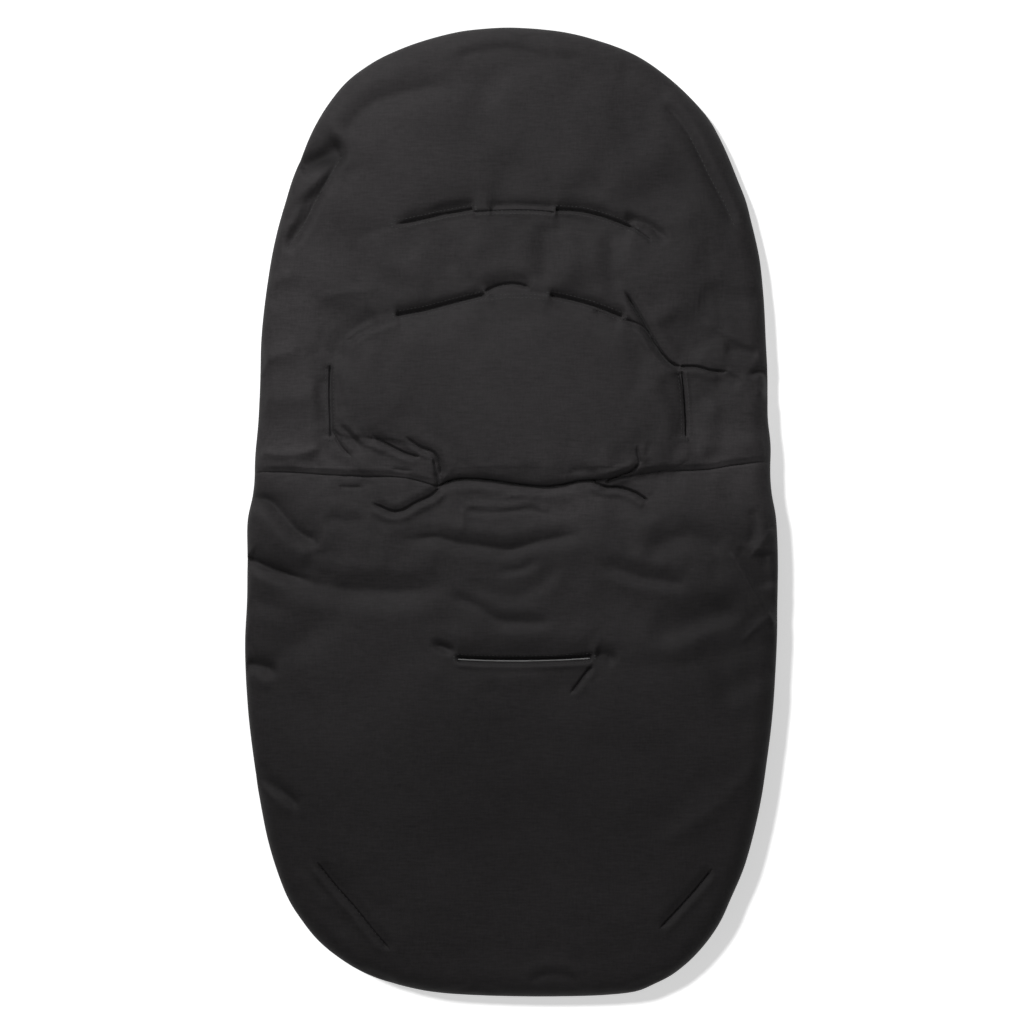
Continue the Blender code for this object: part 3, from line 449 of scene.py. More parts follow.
# The plump region between the lower slots, the lap slots and the cross seam.
PLUMP_PX = (
    (330, 366), (338, 352), (356, 335), (396, 316), (425, 309), (450, 302), (486, 293), (510, 291), (548, 294), (575, 299),
    (600, 306), (624, 317), (645, 333), (660, 351), (676, 368), (682, 386), (685, 412), (688, 436), (690, 456), (672, 468),
    (640, 473), (617, 477), (595, 480), (550, 485), (525, 484), (505, 481), (485, 478.5), (460, 478), (442, 480), (440, 468),
    (432, 455), (418, 447), (396, 441), (366, 437), (342, 436), (331, 424), (330, 395),
)
PLUMP = catmull([at(*p) for p in PLUMP_PX], 4, closed=True)


def plump(x, y):
    """Extra height of the plump region: full inside, and drawn down along its edge."""
    lo, hi = PLUMP.min(0) - 24, PLUMP.max(0) + 24
    near = (x > lo[0]) & (x < hi[0]) & (y > lo[1]) & (y < hi[1])
    out = np.zeros(x.shape)
    if not near.any():
        return out
    px, py = x[near], y[near]
    ring = np.vstack([PLUMP, PLUMP[:1]])
    d, _, _ = along(px, py, ring)
    inside = np.zeros(px.shape, bool)
    for a, b in zip(ring[:-1], ring[1:]):
        crosses = (a[1] > py) != (b[1] > py)
        if crosses.any():
            at_x = a[0] + (py - a[1]) / (b[1] - a[1] + 1e-12) * (b[0] - a[0])
            inside ^= crosses & (px < at_x)
    out[near] = np.where(inside, 4.6 * quarter(d / 34.0) - 0.8 * np.exp(-d / 4.0), -1.0 * np.exp(-((d / 11.0) ** 2)) + 0.2 * np.exp(-d / 4.0))
    # its lower right corner runs out into the wing beside it
    cx, cy = at(690, 452)
    soft = 0.75 * np.exp(-(((px - cx) / 22.0) ** 2 + ((py - cy) / 20.0) ** 2))
    out[near] = out[near] * (1 - soft) + 1.2 * soft
    return out


def seam_depth(x):
    """How deep the cross seam is drawn in: slight at the sides, deep where the padding bulges over it."""
    side = 2.6 + 0.5 * lattice(x, x * 0, 21.0, 5)
    middle = smooth((x + 68) / 10) * smooth((84 - x) / 18)
    return side - 0.8 + 2.2 * middle


def back_top(x, y, d=None):
    """Height of the outer face. d is the distance from the outline, where it is known."""
    d = EDGE(x, y) if d is None else d
    z = -13.0 + 12.0 * quarter(d / 16.0) + 4.0 * (1 - np.exp(-d / 55.0))
    z += plump(x, y)
    # band between the two rows of slots
    z += 1.7 * np.exp(-(((y - at(0, 274)[1]) / 26) ** 2 + (np.abs(x - 5) / 130) ** 4))
    # cross seam
    t = y - SEAM_Y - seam_offset(x)
    depth = seam_depth(x)
    deep = smooth((x + 66) / 8) * smooth((80 - x) / 12)
    reach = (7.0 + depth * 1.1) * np.where(t > 0, 0.22 + 0.36 * deep, 0.35 + 0.65 * deep)
    inward = smooth(d / 16.0) * 0.75 + 0.25
    z -= depth * inward * (1 - quarter(np.abs(t) / reach)) + 0.7 * np.exp(-((t / 20.0) ** 2)) * inward
    # the seam hangs a little lower than the seat, and the head panel with it
    z -= 4.6 * np.where(t > 0, np.clip(1 - t / 330.0, 0, 1), np.exp(-((t / 44.0) ** 2)))
    # the fabric swells beside the seam: at the sides above it, and all along below it
    z += 2.0 * (1 - deep) * np.exp(-(((t - 7.0) / np.where(t > 7.0, 32.0, 9.0)) ** 2)) * np.where(t > 0, 1.0, 0.0) * smooth(t / 6.0) * inward
    z += 1.3 * np.exp(-(((t + 42.0) / 17.0) ** 2)) * inward
    z -= 3.0 * deep * np.exp(-((np.abs(t) / 1.1) ** 2.4)) * inward
    z += 1.7 * deep * np.exp(-(((t + 7.0) / 5.6) ** 2)) * inward
    # fullness along it, and small gathers that the seam draws up
    near = np.exp(-((np.abs(t) - 9.0) / 9.0) ** 2)
    z += 0.9 * near * lattice(x, np.sign(t) * 40, 19.0, 11) * inward
    z += 0.32 * np.exp(-np.abs(t) / 7.0) * lattice(x, np.sign(t) * 90, 6.5, 12)
    for fold in FOLDS:
        fold.add(x, y, z)
    # slack fabric
    ease = smooth(d / 26.0)
    z += ease * (0.8 * lattice(x * 0.62, y, 78.0, 21) + 0.42 * lattice(x * 0.8, y, 36.0, 22) + 0.14 * lattice(x, y, 15.0, 23))
    z += (1 - ease) * 0.5 * lattice(x, y, 26.0, 24)
    # gathers where the edge is sewn
    z += 0.28 * np.exp(-d / 9.0) * lattice(x, y, 7.5, 25)
    return z + base_plane(y)


def back_low(x, y, d=None):
    """Height of the lining."""
    d = EDGE(x, y) if d is None else d
    z = -BACK_THICK + smooth(d / 30.0) * (0.6 + 0.45 * lattice(x, y, 60.0, 31) + 0.2 * lattice(x, y, 24.0, 32))
    t = y - SEAM_Y - seam_offset(x)
    z += 3.0 * (1 - quarter(np.abs(t) / 9.0))
    for curve in SLOT_LINES:
        lo, hi = curve.min(0) - 20, curve.max(0) + 20
        near = (x > lo[0]) & (x < hi[0]) & (y > lo[1]) & (y < hi[1])
        if near.any():
            dd, _, _ = along(x[near], y[near], curve)
            z[near] += 2.2 * np.exp(-((dd / 6.0) ** 2))
    return np.maximum(z + base_plane(y), 0.4)


SLOT_LINES = [catmull([at(*p) for p in points], 6) for _, points in SLOTS]


def front_top(x, y, d=None):
    """Height of the front cover's lining, with its rounded mouth edge."""
    d = EDGE(x, y) if d is None else d
    m = np.maximum(np.minimum(d, MOUTH_Y - y), 0.05)
    z = 9.0 + 8.5 * quarter(m / 8.0) + 1.0 * (1 - np.exp(-m / 40.0))
    z += smooth(m / 30.0) * (0.8 * lattice(x, y, 70.0, 41) + 0.45 * lattice(x, y, 30.0, 42) + 0.15 * lattice(x, y, 13.0, 43))
    z -= 0.9 * np.exp(-(((m - 14.0) / 3.0) ** 2))
    return z


def front_low(x, y, d=None):
    """Height of the front cover's outer fabric, which lies on the surface."""
    d = EDGE(x, y) if d is None else d
    m = np.maximum(np.minimum(d, MOUTH_Y - y), 0.05)
    z = 9.0 - 8.4 * quarter(m / 10.0) + 0.5 * np.exp(-(((MOUTH_Y - y) / 14.0) ** 2))
    z += smooth(m / 20.0) * (0.1 + 0.35 * (1 + lattice(x, y, 50.0, 44)))
    return np.maximum(z, 0.35)


# ---------------------------------------------------------------- meshes
def new_object(name, verts, faces, materials, face_slots=None, smooth_shade=True, out=False):
    mesh = bpy.data.meshes.new(name)
    mesh.from_pydata((np.asarray(verts, float) * MM).tolist(), [], faces)
    mesh.update()
    for m in materials:
        mesh.materials.append(m)
    if face_slots is not None:
        mesh.polygons.foreach_set("material_index", np.asarray(face_slots, np.int32))
    if smooth_shade:
        mesh.polygons.foreach_set("use_smooth", np.ones(len(mesh.polygons), bool))
    mesh.update()
    if out:
        turn_out(mesh)
    obj = bpy.data.objects.new(name, mesh)
    bpy.context.scene.collection.objects.link(obj)
    return obj


def refine(obj, rise, columns, top, curves, reaches):
    """Splits the faces of a pad's upper grid near the sharp folds, once for each reach, and sets the new heights."""
    bm = bmesh.new()
    bm.from_mesh(obj.data)
    bm.verts.ensure_lookup_table()
    keep, grid = bm.verts.layers.float.new("rise"), bm.verts.layers.float.new("grid")
    for k, value in enumerate(rise):
        bm.verts[k][keep] = float(value)
        bm.verts[k][grid] = 0.0 if k < columns else 1.0
    for reach in reaches:
        free = [v for v in bm.verts if v[grid] > 0.99]
        x, y = np.array([v.co.x for v in free]) / MM, np.array([v.co.y for v in free]) / MM
        close = np.zeros(len(free), bool)
        for curve in curves:
            lo, hi = curve.min(0) - reach, curve.max(0) + reach
            near = np.where((x > lo[0]) & (x < hi[0]) & (y > lo[1]) & (y < hi[1]))[0]
            if len(near):
                close[near] |= along(x[near], y[near], curve)[0] < reach
        chosen = {v for v, c in zip(free, close) if c}
        edges = [e for e in bm.edges if e.verts[0] in chosen and e.verts[1] in chosen]
        bmesh.ops.subdivide_edges(bm, edges=edges, cuts=1, use_grid_fill=True)
    free = [v for v in bm.verts if v[grid] > 0.99]
    x, y = np.array([v.co.x for v in free]) / MM, np.array([v.co.y for v in free]) / MM
    z = top(x, y)
    for v, height in zip(free, z):
        v.co.z = (height + v[keep]) * MM
    bm.verts.layers.float.remove(keep)
    bm.verts.layers.float.remove(bm.verts.layers.float["grid"])
    for f in bm.faces:
        f.smooth = True
    bm.to_mesh(obj.data)
    bm.free()
    obj.data.update()


def turn_out(mesh):
    """Turns every closed part of a mesh so that its faces look outwards."""
    bm = bmesh.new()
    bm.from_mesh(mesh)
    bmesh.ops.recalc_face_normals(bm, faces=bm.faces)
    bm.to_mesh(mesh)
    bm.free()
    mesh.update()


def spaced(count, dense=()):
    """count + 1 values from 0 to 1, closer together round each (value, width, gain)."""
    t = np.linspace(0, 1, 4001)
    weight = np.ones_like(t)
    for value, width, gain in dense:
        weight += gain * np.exp(-(((t - value) / width) ** 2))
    total = np.concatenate([[0], np.cumsum((weight[1:] + weight[:-1]) / 2)])
    total /= total[-1]
    return np.interp(np.linspace(0, 1, count + 1), total, t)


def half_grid(sign, centre_y, inset, us, vs):
    """Points of one panel: a square grid drawn onto the half of the outline beyond centre_y, and what its open edge reads."""
    q = OUT + OUT_N * inset
    angle = np.arctan2(sign * (q[:, 1] - centre_y), q[:, 0])
    keep = np.where((angle > -0.35) | (angle < -math.pi + 0.35))[0]
    ang = angle[keep]
    ang = np.where(ang < -1.6, ang + 2 * math.pi, ang)
    order = np.argsort(ang)
    keep, ang = keep[order], ang[order]
    table = {
        "r": np.hypot(q[keep, 0], q[keep, 1] - centre_y),
        "ox": OUT[keep, 0], "oy": OUT[keep, 1], "nx": OUT_N[keep, 0], "ny": OUT_N[keep, 1],
    }
    U, V = np.meshgrid(us, vs, indexing="xy")
    X, Y = U * np.sqrt(1 - V * V / 2), V * np.sqrt(1 - U * U / 2)
    theta, rad = np.arctan2(Y, X), np.hypot(X, Y)
    reach = np.interp(theta, ang, table["r"])
    x = rad * reach * np.cos(theta)
    y = centre_y + sign * rad * reach * np.sin(theta)
    # the open edge, from the right end of the cut round to the left end
    edge = [(len(us) - 1, j) for j in range(len(vs))] + [(i, len(vs) - 1) for i in range(len(us) - 2, -1, -1)]
    edge += [(0, j) for j in range(len(vs) - 2, -1, -1)]
    et = np.array([theta[j, i] for i, j in edge])
    read = {k: np.interp(et, ang, v) for k, v in table.items()}
    index = np.array([j * len(us) + i for i, j in edge])
    return x.ravel(), y.ravel(), index, read


def seam_bend(x, y):
    """Moves the panels' shared edge from a straight line onto the seam's own line."""
    return y + seam_offset(x) * np.exp(-(((y - SEAM_Y) / 48.0) ** 2))


def pillow(name, sign, centre_y, us, vs, top, low, rim, low_rings, materials, bend=None, step=3, relief=None):
    """A closed pad over one half of the outline: a fine upper face, a rolled edge and a lower face that is coarser by step.

    rim is (inset, rings) of the upper edge, and low_rings gives (inset, share of the way down, material) under it.
    """
    bend = bend or (lambda x, y: y)
    x, y, edge, read = half_grid(sign, centre_y, rim[0], us, vs)
    y = bend(x, y)
    z = top(x, y)
    if relief is not None:
        z = z + relief
    verts, faces, slots = [np.stack([x, y, z], axis=1)], [], []
    w, h = len(us), len(vs)

    def quads(a, b, c, d, flip, slot):
        q = np.stack([a, b, c, d], axis=1)
        faces.extend((q[:, ::-1] if flip else q).tolist())
        slots.extend([slot] * len(q))

    j, i = np.meshgrid(np.arange(h - 1), np.arange(w - 1), indexing="ij")
    a = (j * w + i).ravel()
    quads(a, a + 1, a + 1 + w, a + w, sign < 0, 0)
    count, n, previous, rings = w * h, len(edge), edge, []

    def ring(inset, height, slot):
        nonlocal count, previous
        px, py = read["ox"] + read["nx"] * inset, read["oy"] + read["ny"] * inset
        py = bend(px, py)
        verts.append(np.stack([px, py, height(px, py)], axis=1))
        now = np.arange(n) + count
        count += n
        quads(previous[:-1], now[:-1], now[1:], previous[1:], sign < 0, slot)
        previous = now
        rings.append(now)

    for phi in np.linspace(0, 90, rim[1] + 1)[1:]:
        inset = max(rim[0] * (1 - math.sin(math.radians(phi))), 0.02)
        ring(inset, lambda px, py: top(px, py, np.full(px.shape, inset)), 0)
    rim_z = verts[-1][:, 2].copy()
    for inset, share, slot in low_rings:
        ring(inset, lambda px, py: rim_z * (1 - share) + low(px, py, np.full(px.shape, inset)) * share, slot)
    last_inset, _, last_slot = low_rings[-1]
    lx, ly, ledge, _ = half_grid(sign, centre_y, last_inset + 2.5, us[::step], vs[::step])
    ly = bend(lx, ly)
    verts.append(np.stack([lx, ly, low(lx, ly)], axis=1))
    base = count
    w2, h2 = len(us[::step]), len(vs[::step])
    j, i = np.meshgrid(np.arange(h2 - 1), np.arange(w2 - 1), indexing="ij")
    a = (j * w2 + i).ravel() + base
    quads(a, a + w2, a + 1 + w2, a + 1, sign < 0, last_slot)
    inner = ledge + base
    for k in range(len(inner) - 1):
        fine = previous[step * k : step * k + step + 1].tolist()
        poly = fine[::-1] + [int(inner[k]), int(inner[k + 1])]
        faces.append(poly[::-1] if sign > 0 else poly)
        slots.append(last_slot)
    # the edge that is sewn to the other panel
    wall = [w - 1 - k for k in range(w)] + [int(r[-1]) for r in rings] + [base + k for k in range(w2)] + [int(r[0]) for r in rings[::-1]]
    faces.append(wall if sign < 0 else wall[::-1])
    slots.append(0)
    return new_object(name, np.vstack(verts), faces, materials, slots, out=True)


def loft(rings, closed=False, caps=True):
    """Vertices and faces of a body drawn through rings of points. rings is (stations, points, 3)."""
    rings = np.asarray(rings, float)
    n, m, _ = rings.shape
    faces = []
    for i in range(n if closed else n - 1):
        a, b = i * m, ((i + 1) % n) * m
        faces += [[a + k, a + (k + 1) % m, b + (k + 1) % m, b + k] for k in range(m)]
    if caps and not closed:
        faces += [list(range(m))[::-1], [(n - 1) * m + k for k in range(m)]]
    return rings.reshape(-1, 3), faces


def tangents(curve, closed=False):
    if closed:
        t = np.roll(curve, -1, axis=0) - np.roll(curve, 1, axis=0)
    else:
        t = np.gradient(curve, axis=0)
    return t / np.linalg.norm(t, axis=1)[:, None]


def stamp(template, faces, origins, ax, ay, az, sizes):
    """Copies of a small shape: template points are in (along, across, up), each scaled by sizes."""
    t = np.asarray(template)[None, :, :] * np.asarray(sizes)[:, None, :]
    pts = origins[:, None, :] + t[..., :1] * ax[:, None, :] + t[..., 1:2] * ay[:, None, :] + t[..., 2:] * az[:, None, :]
    m = len(template)
    every = [[k * m + i for i in f] for k in range(len(origins)) for f in faces]
    return pts.reshape(-1, 3), every


def chamfered_block():
    """A unit block with bevelled edges, as a template."""
    bm = bmesh.new()
    bmesh.ops.create_cube(bm, size=1.0)
    bmesh.ops.bevel(bm, geom=list(bm.edges), offset=0.17, segments=2, profile=0.6, affect="EDGES")
    bm.verts.index_update()
    points = [tuple(v.co) for v in bm.verts]
    faces = [[v.index for v in f.verts] for f in bm.faces]
    bm.free()
    return points, faces


def thread_template():
    """One stitch: a short thread that comes up out of the cloth, runs over it and goes back in."""
    rings = []
    for t, r in ((-0.5, 0.45), (-0.44, 0.85), (-0.3, 1.0), (0.0, 1.0), (0.3, 1.0), (0.44, 0.85), (0.5, 0.45)):
        rise = -3.2 * abs(t * 2) ** 4 + 0.3
        rings.append([(t, math.cos(a) * r, math.sin(a) * r + rise) for a in np.linspace(0, 2 * math.pi, 7)[:-1]])
    return loft(rings)


THREAD = thread_template()
STITCHES = {}


def stitch(group, curve, height, length=2.7, pitch=3.9, radius=0.30, lift=0.0, down=False):
    """A row of stitches along a curve on a face, kept for the piece named group."""
    curve = np.asarray(curve, float)
    s = np.concatenate([[0], np.cumsum(np.linalg.norm(np.diff(curve, axis=0), axis=1))])
    count = max(int(round(s[-1] / pitch)), 1)
    mid = (np.arange(count) + 0.5) * s[-1] / count

    def point(v):
        x, y = np.interp(v, s, curve[:, 0]), np.interp(v, s, curve[:, 1])
        return np.stack([x, y, height(x, y)], axis=1)

    a, b = point(mid - length / 2), point(mid + length / 2)
    ax = b - a
    ax /= np.linalg.norm(ax, axis=1)[:, None]
    up = np.array([0.0, 0.0, -1.0 if down else 1.0])
    ay = np.cross(up, ax)
    ay /= np.linalg.norm(ay, axis=1)[:, None]
    az = np.cross(ax, ay)
    origins = point(mid) + az * lift
    sizes = np.tile([length, radius, radius * (1.0)], (count, 1))
    STITCHES.setdefault(group, []).append(stamp(THREAD[0], THREAD[1], origins, ax, ay, az, sizes))


def sewn(group, material):
    """The piece that holds all the stitches of a group."""
    verts, faces, base = [], [], 0
    for v, f in STITCHES[group]:
        verts.append(v)
        faces += [[i + base for i in face] for face in f]
        base += len(v)
    return new_object(group, np.vstack(verts), faces, [material], out=True)


def offset_curve(curve, distance):
    t = tangents(curve)
    return curve + np.stack([-t[:, 1], t[:, 0]], axis=1) * distance


def refined(name, node, bevel, material):
    """A CAD part's shape with its edges rounded off, as a piece that stands for it."""
    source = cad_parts[node]
    mesh = source.data.copy()
    mesh.name = name
    bm = bmesh.new()
    bm.from_mesh(mesh)
    bmesh.ops.remove_doubles(bm, verts=bm.verts, dist=2e-6)
    bmesh.ops.dissolve_limit(bm, angle_limit=math.radians(1.0), verts=bm.verts, edges=bm.edges)
    sharp = [e for e in bm.edges if len(e.link_faces) == 2 and e.calc_face_angle(0.0) > math.radians(24)]
    bmesh.ops.bevel(bm, geom=sharp, offset=bevel * MM, segments=2, profile=0.6, affect="EDGES", clamp_overlap=True)
    bmesh.ops.recalc_face_normals(bm, faces=bm.faces)
    bm.to_mesh(mesh)
    bm.free()
    mesh.materials.clear()
    mesh.materials.append(material)
    mesh.polygons.foreach_set("use_smooth", np.ones(len(mesh.polygons), bool))
    mesh.set_sharp_from_angle(angle=math.radians(38))
    obj = bpy.data.objects.new(name, mesh)
    bpy.context.scene.collection.objects.link(obj)
    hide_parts(node)
    return obj


# ---------------------------------------------------------------- materials
def node_material(name, build):
    mat = bpy.data.materials.new(name)
    mat.use_nodes = True
    build(mat.node_tree, mat.node_tree.nodes["Principled BSDF"])
    return mat


def mapped(tree, scale):
    coord = tree.nodes.new("ShaderNodeTexCoord")
    mapping = tree.nodes.new("ShaderNodeMapping")
    mapping.inputs["Scale"].default_value = scale
    tree.links.new(coord.outputs["Object"], mapping.inputs["Vector"])
    return mapping.outputs["Vector"]


def noise(tree, scale, stretch=(1, 1, 1), detail=3.0, rough=0.55):
    tex = tree.nodes.new("ShaderNodeTexNoise")
    tex.inputs["Scale"].default_value = scale
    tex.inputs["Detail"].default_value = detail
    tex.inputs["Roughness"].default_value = rough
    tree.links.new(mapped(tree, stretch), tex.inputs["Vector"])
    return tex.outputs["Fac"]


def calc(tree, op, a, b=None):
    node = tree.nodes.new("ShaderNodeMath")
    node.operation = op
    for k, v in enumerate((a, b)):
        if v is None:
            continue
        if hasattr(v, "links"):
            tree.links.new(v, node.inputs[k])
        else:
            node.inputs[k].default_value = v
    return node.outputs[0]


def ramp(tree, fac, stops):
    node = tree.nodes.new("ShaderNodeValToRGB")
    ends = node.color_ramp.elements
    ends[0].position, ends[0].color = stops[0]
    ends[1].position, ends[1].color = stops[-1]
    for pos, col in stops[1:-1]:
        node.color_ramp.elements.new(pos).color = col
    tree.links.new(fac, node.inputs["Fac"])
    return node.outputs["Color"]


def bump(tree, shader, height, strength, distance):
    node = tree.nodes.new("ShaderNodeBump")
    node.inputs["Strength"].default_value = strength
    node.inputs["Distance"].default_value = distance
    tree.links.new(height, node.inputs["Height"])
    tree.links.new(node.outputs[0], shader.inputs["Normal"])


def grey(v, warm=0.0):
    return (v * (1 + warm), v * (1 - warm), v, 1.0)


def weave(tree, pitch):
    """Plain weave: warp and weft that pass over and under each other, at a pitch in metres."""
    coord = tree.nodes.new("ShaderNodeTexCoord")
    sep = tree.nodes.new("ShaderNodeSeparateXYZ")
    tree.links.new(coord.outputs["Object"], sep.inputs[0])
    k = math.pi / pitch
    wobble = calc(tree, "MULTIPLY", noise(tree, 260.0, detail=1.0), 1.6)
    a = calc(tree, "ABSOLUTE", calc(tree, "SINE", calc(tree, "ADD", calc(tree, "MULTIPLY", sep.outputs["X"], k), wobble)))
    b = calc(tree, "ABSOLUTE", calc(tree, "SINE", calc(tree, "ADD", calc(tree, "MULTIPLY", sep.outputs["Y"], k), wobble)))
    return calc(tree, "MULTIPLY", a, b)


SHELL_ALBEDO = 0.0142


def shell_fabric(tree, shader):
    broad = noise(tree, 9.0, detail=4.0)
    slub_x = noise(tree, 1.0, (90.0, 640.0, 300.0), 3.0, 0.7)
    slub_y = noise(tree, 1.0, (700.0, 110.0, 300.0), 3.0, 0.7)
    speck = noise(tree, 620.0, detail=2.0, rough=0.7)
    thread = calc(tree, "ADD", calc(tree, "MULTIPLY", slub_x, 0.5), calc(tree, "ADD", calc(tree, "MULTIPLY", slub_y, 0.3), calc(tree, "MULTIPLY", speck, 0.2)))
    mix = calc(tree, "ADD", calc(tree, "MULTIPLY", broad, 0.25), calc(tree, "MULTIPLY", thread, 0.75))
    low, high = SHELL_ALBEDO * 0.55, SHELL_ALBEDO * 1.45
    dyed = ramp(tree, mix, [(0.34, (low * 1.05, low * 0.962, low * 1.005, 1)), (0.66, (high * 1.05, high * 0.962, high * 1.005, 1))])
    # the outer fabric's colour is scaled up by painted sheen patches and down by painted shade patches, read from a
    # point attribute
    painted_light = tree.nodes.new("ShaderNodeAttribute")
    painted_light.attribute_name = "painted_sheen_and_shade"
    scaled = tree.nodes.new("ShaderNodeVectorMath")
    scaled.operation = "SCALE"
    tree.links.new(dyed, scaled.inputs[0])
    tree.links.new(calc(tree, "ADD", painted_light.outputs["Fac"], 1.0), scaled.inputs["Scale"])
    tree.links.new(scaled.outputs[0], shader.inputs["Base Color"])
    tree.links.new(calc(tree, "ADD", calc(tree, "MULTIPLY", thread, 0.2), 0.58), shader.inputs["Roughness"])
    shader.inputs["Specular IOR Level"].default_value = 0.11
    shader.inputs["Sheen Weight"].default_value = 0.03
    shader.inputs["Sheen Roughness"].default_value = 0.5
    cloth = calc(tree, "ADD", calc(tree, "MULTIPLY", weave(tree, 0.00062), 0.5), calc(tree, "MULTIPLY", thread, 0.9))
    bump(tree, shader, cloth, 0.40, 0.00035)


def fleece_lining(tree, shader):
    tuft = noise(tree, 620.0, detail=5.0, rough=0.75)
    clump = noise(tree, 190.0, detail=3.0, rough=0.6)
    broad = noise(tree, 14.0, detail=2.0)
    mix = calc(tree, "ADD", calc(tree, "MULTIPLY", tuft, 0.55), calc(tree, "ADD", calc(tree, "MULTIPLY", clump, 0.33), calc(tree, "MULTIPLY", broad, 0.12)))
    tree.links.new(ramp(tree, mix, [(0.36, grey(0.20)), (0.64, grey(0.40))]), shader.inputs["Base Color"])
    shader.inputs["Roughness"].default_value = 0.95
    shader.inputs["Specular IOR Level"].default_value = 0.1
    shader.inputs["Sheen Weight"].default_value = 0.3
    shader.inputs["Sheen Roughness"].default_value = 0.6
    bump(tree, shader, mix, 0.9, 0.0018)


def binding_tape(tree, shader):
    rib = noise(tree, 1.0, (2400.0, 2400.0, 500.0), 2.0)
    soft = noise(tree, 60.0)
    mix = calc(tree, "ADD", calc(tree, "MULTIPLY", rib, 0.6), calc(tree, "MULTIPLY", soft, 0.4))
    tree.links.new(ramp(tree, mix, [(0.3, grey(0.24)), (0.7, grey(0.36))]), shader.inputs["Base Color"])
    shader.inputs["Roughness"].default_value = 0.85
    shader.inputs["Specular IOR Level"].default_value = 0.15
    bump(tree, shader, mix, 0.5, 0.0003)


def black_tape(tree, shader):
    rib = noise(tree, 1.0, (900.0, 900.0, 4200.0), 2.0)
    soft = noise(tree, 80.0)
    mix = calc(tree, "ADD", calc(tree, "MULTIPLY", rib, 0.7), calc(tree, "MULTIPLY", soft, 0.3))
    tree.links.new(ramp(tree, mix, [(0.3, grey(0.010)), (0.7, grey(0.018))]), shader.inputs["Base Color"])
    shader.inputs["Roughness"].default_value = 0.75
    shader.inputs["Specular IOR Level"].default_value = 0.2
    bump(tree, shader, mix, 0.5, 0.0003)


def moulded_teeth(tree, shader):
    tree.links.new(ramp(tree, noise(tree, 300.0, detail=2.0), [(0.3, grey(0.012)), (0.7, grey(0.020))]), shader.inputs["Base Color"])
    tree.links.new(calc(tree, "ADD", calc(tree, "MULTIPLY", noise(tree, 900.0), 0.2), 0.28), shader.inputs["Roughness"])
    shader.inputs["Specular IOR Level"].default_value = 0.5


def gunmetal(tree, shader):
    brush = noise(tree, 1.0, (5200.0, 300.0, 5200.0), 2.0)
    wear = noise(tree, 400.0)
    tree.links.new(ramp(tree, wear, [(0.35, grey(0.085)), (0.7, grey(0.16))]), shader.inputs["Base Color"])
    shader.inputs["Metallic"].default_value = 1.0
    tree.links.new(calc(tree, "ADD", calc(tree, "MULTIPLY", brush, 0.25), 0.22), shader.inputs["Roughness"])
    bump(tree, shader, brush, 0.15, 0.00005)


def sewing_thread(tree, shader):
    tree.links.new(ramp(tree, noise(tree, 1600.0), [(0.3, grey(0.019)), (0.7, grey(0.034))]), shader.inputs["Base Color"])
    shader.inputs["Roughness"].default_value = 0.7
    shader.inputs["Specular IOR Level"].default_value = 0.18


def grip_rubber(tree, shader):
    tree.links.new(ramp(tree, noise(tree, 500.0), [(0.3, grey(0.012)), (0.7, grey(0.02))]), shader.inputs["Base Color"])
    shader.inputs["Roughness"].default_value = 0.6


SHELL = node_material("shell_fabric", shell_fabric)
FLEECE = node_material("fleece_lining", fleece_lining)
BINDING = node_material("binding_tape", binding_tape)
TAPE = node_material("zip_tape", black_tape)
TEETH = node_material("zip_teeth", moulded_teeth)
METAL = node_material("zip_metal", gunmetal)
SEWING = node_material("sewing_thread", sewing_thread)
RUBBER = node_material("grip_rubber", grip_rubber)


def grooves(x, y):
    """How firmly the fabric is sewn or pressed down at a point, from 0 to 1: at the slots, the seam, the folds and the edge."""
    firm = np.zeros(x.shape)
    for fold in FOLDS:
        lo, hi = fold.curve.min(0) - 9, fold.curve.max(0) + 9
        near = (x > lo[0]) & (x < hi[0]) & (y > lo[1]) & (y < hi[1])
        if near.any():
            d, _, _ = along(x[near], y[near], fold.curve)
            firm[near] = np.maximum(firm[near], np.exp(-((d / 5.0) ** 2)) * min(fold.depth / 2.0, 1.0))
    t = np.abs(y - SEAM_Y - seam_offset(x))
    firm = np.maximum(firm, np.exp(-((t / 5.0) ** 2)))
    return np.maximum(firm, 1 - smooth((EDGE(x, y) - 20) / 12.0))


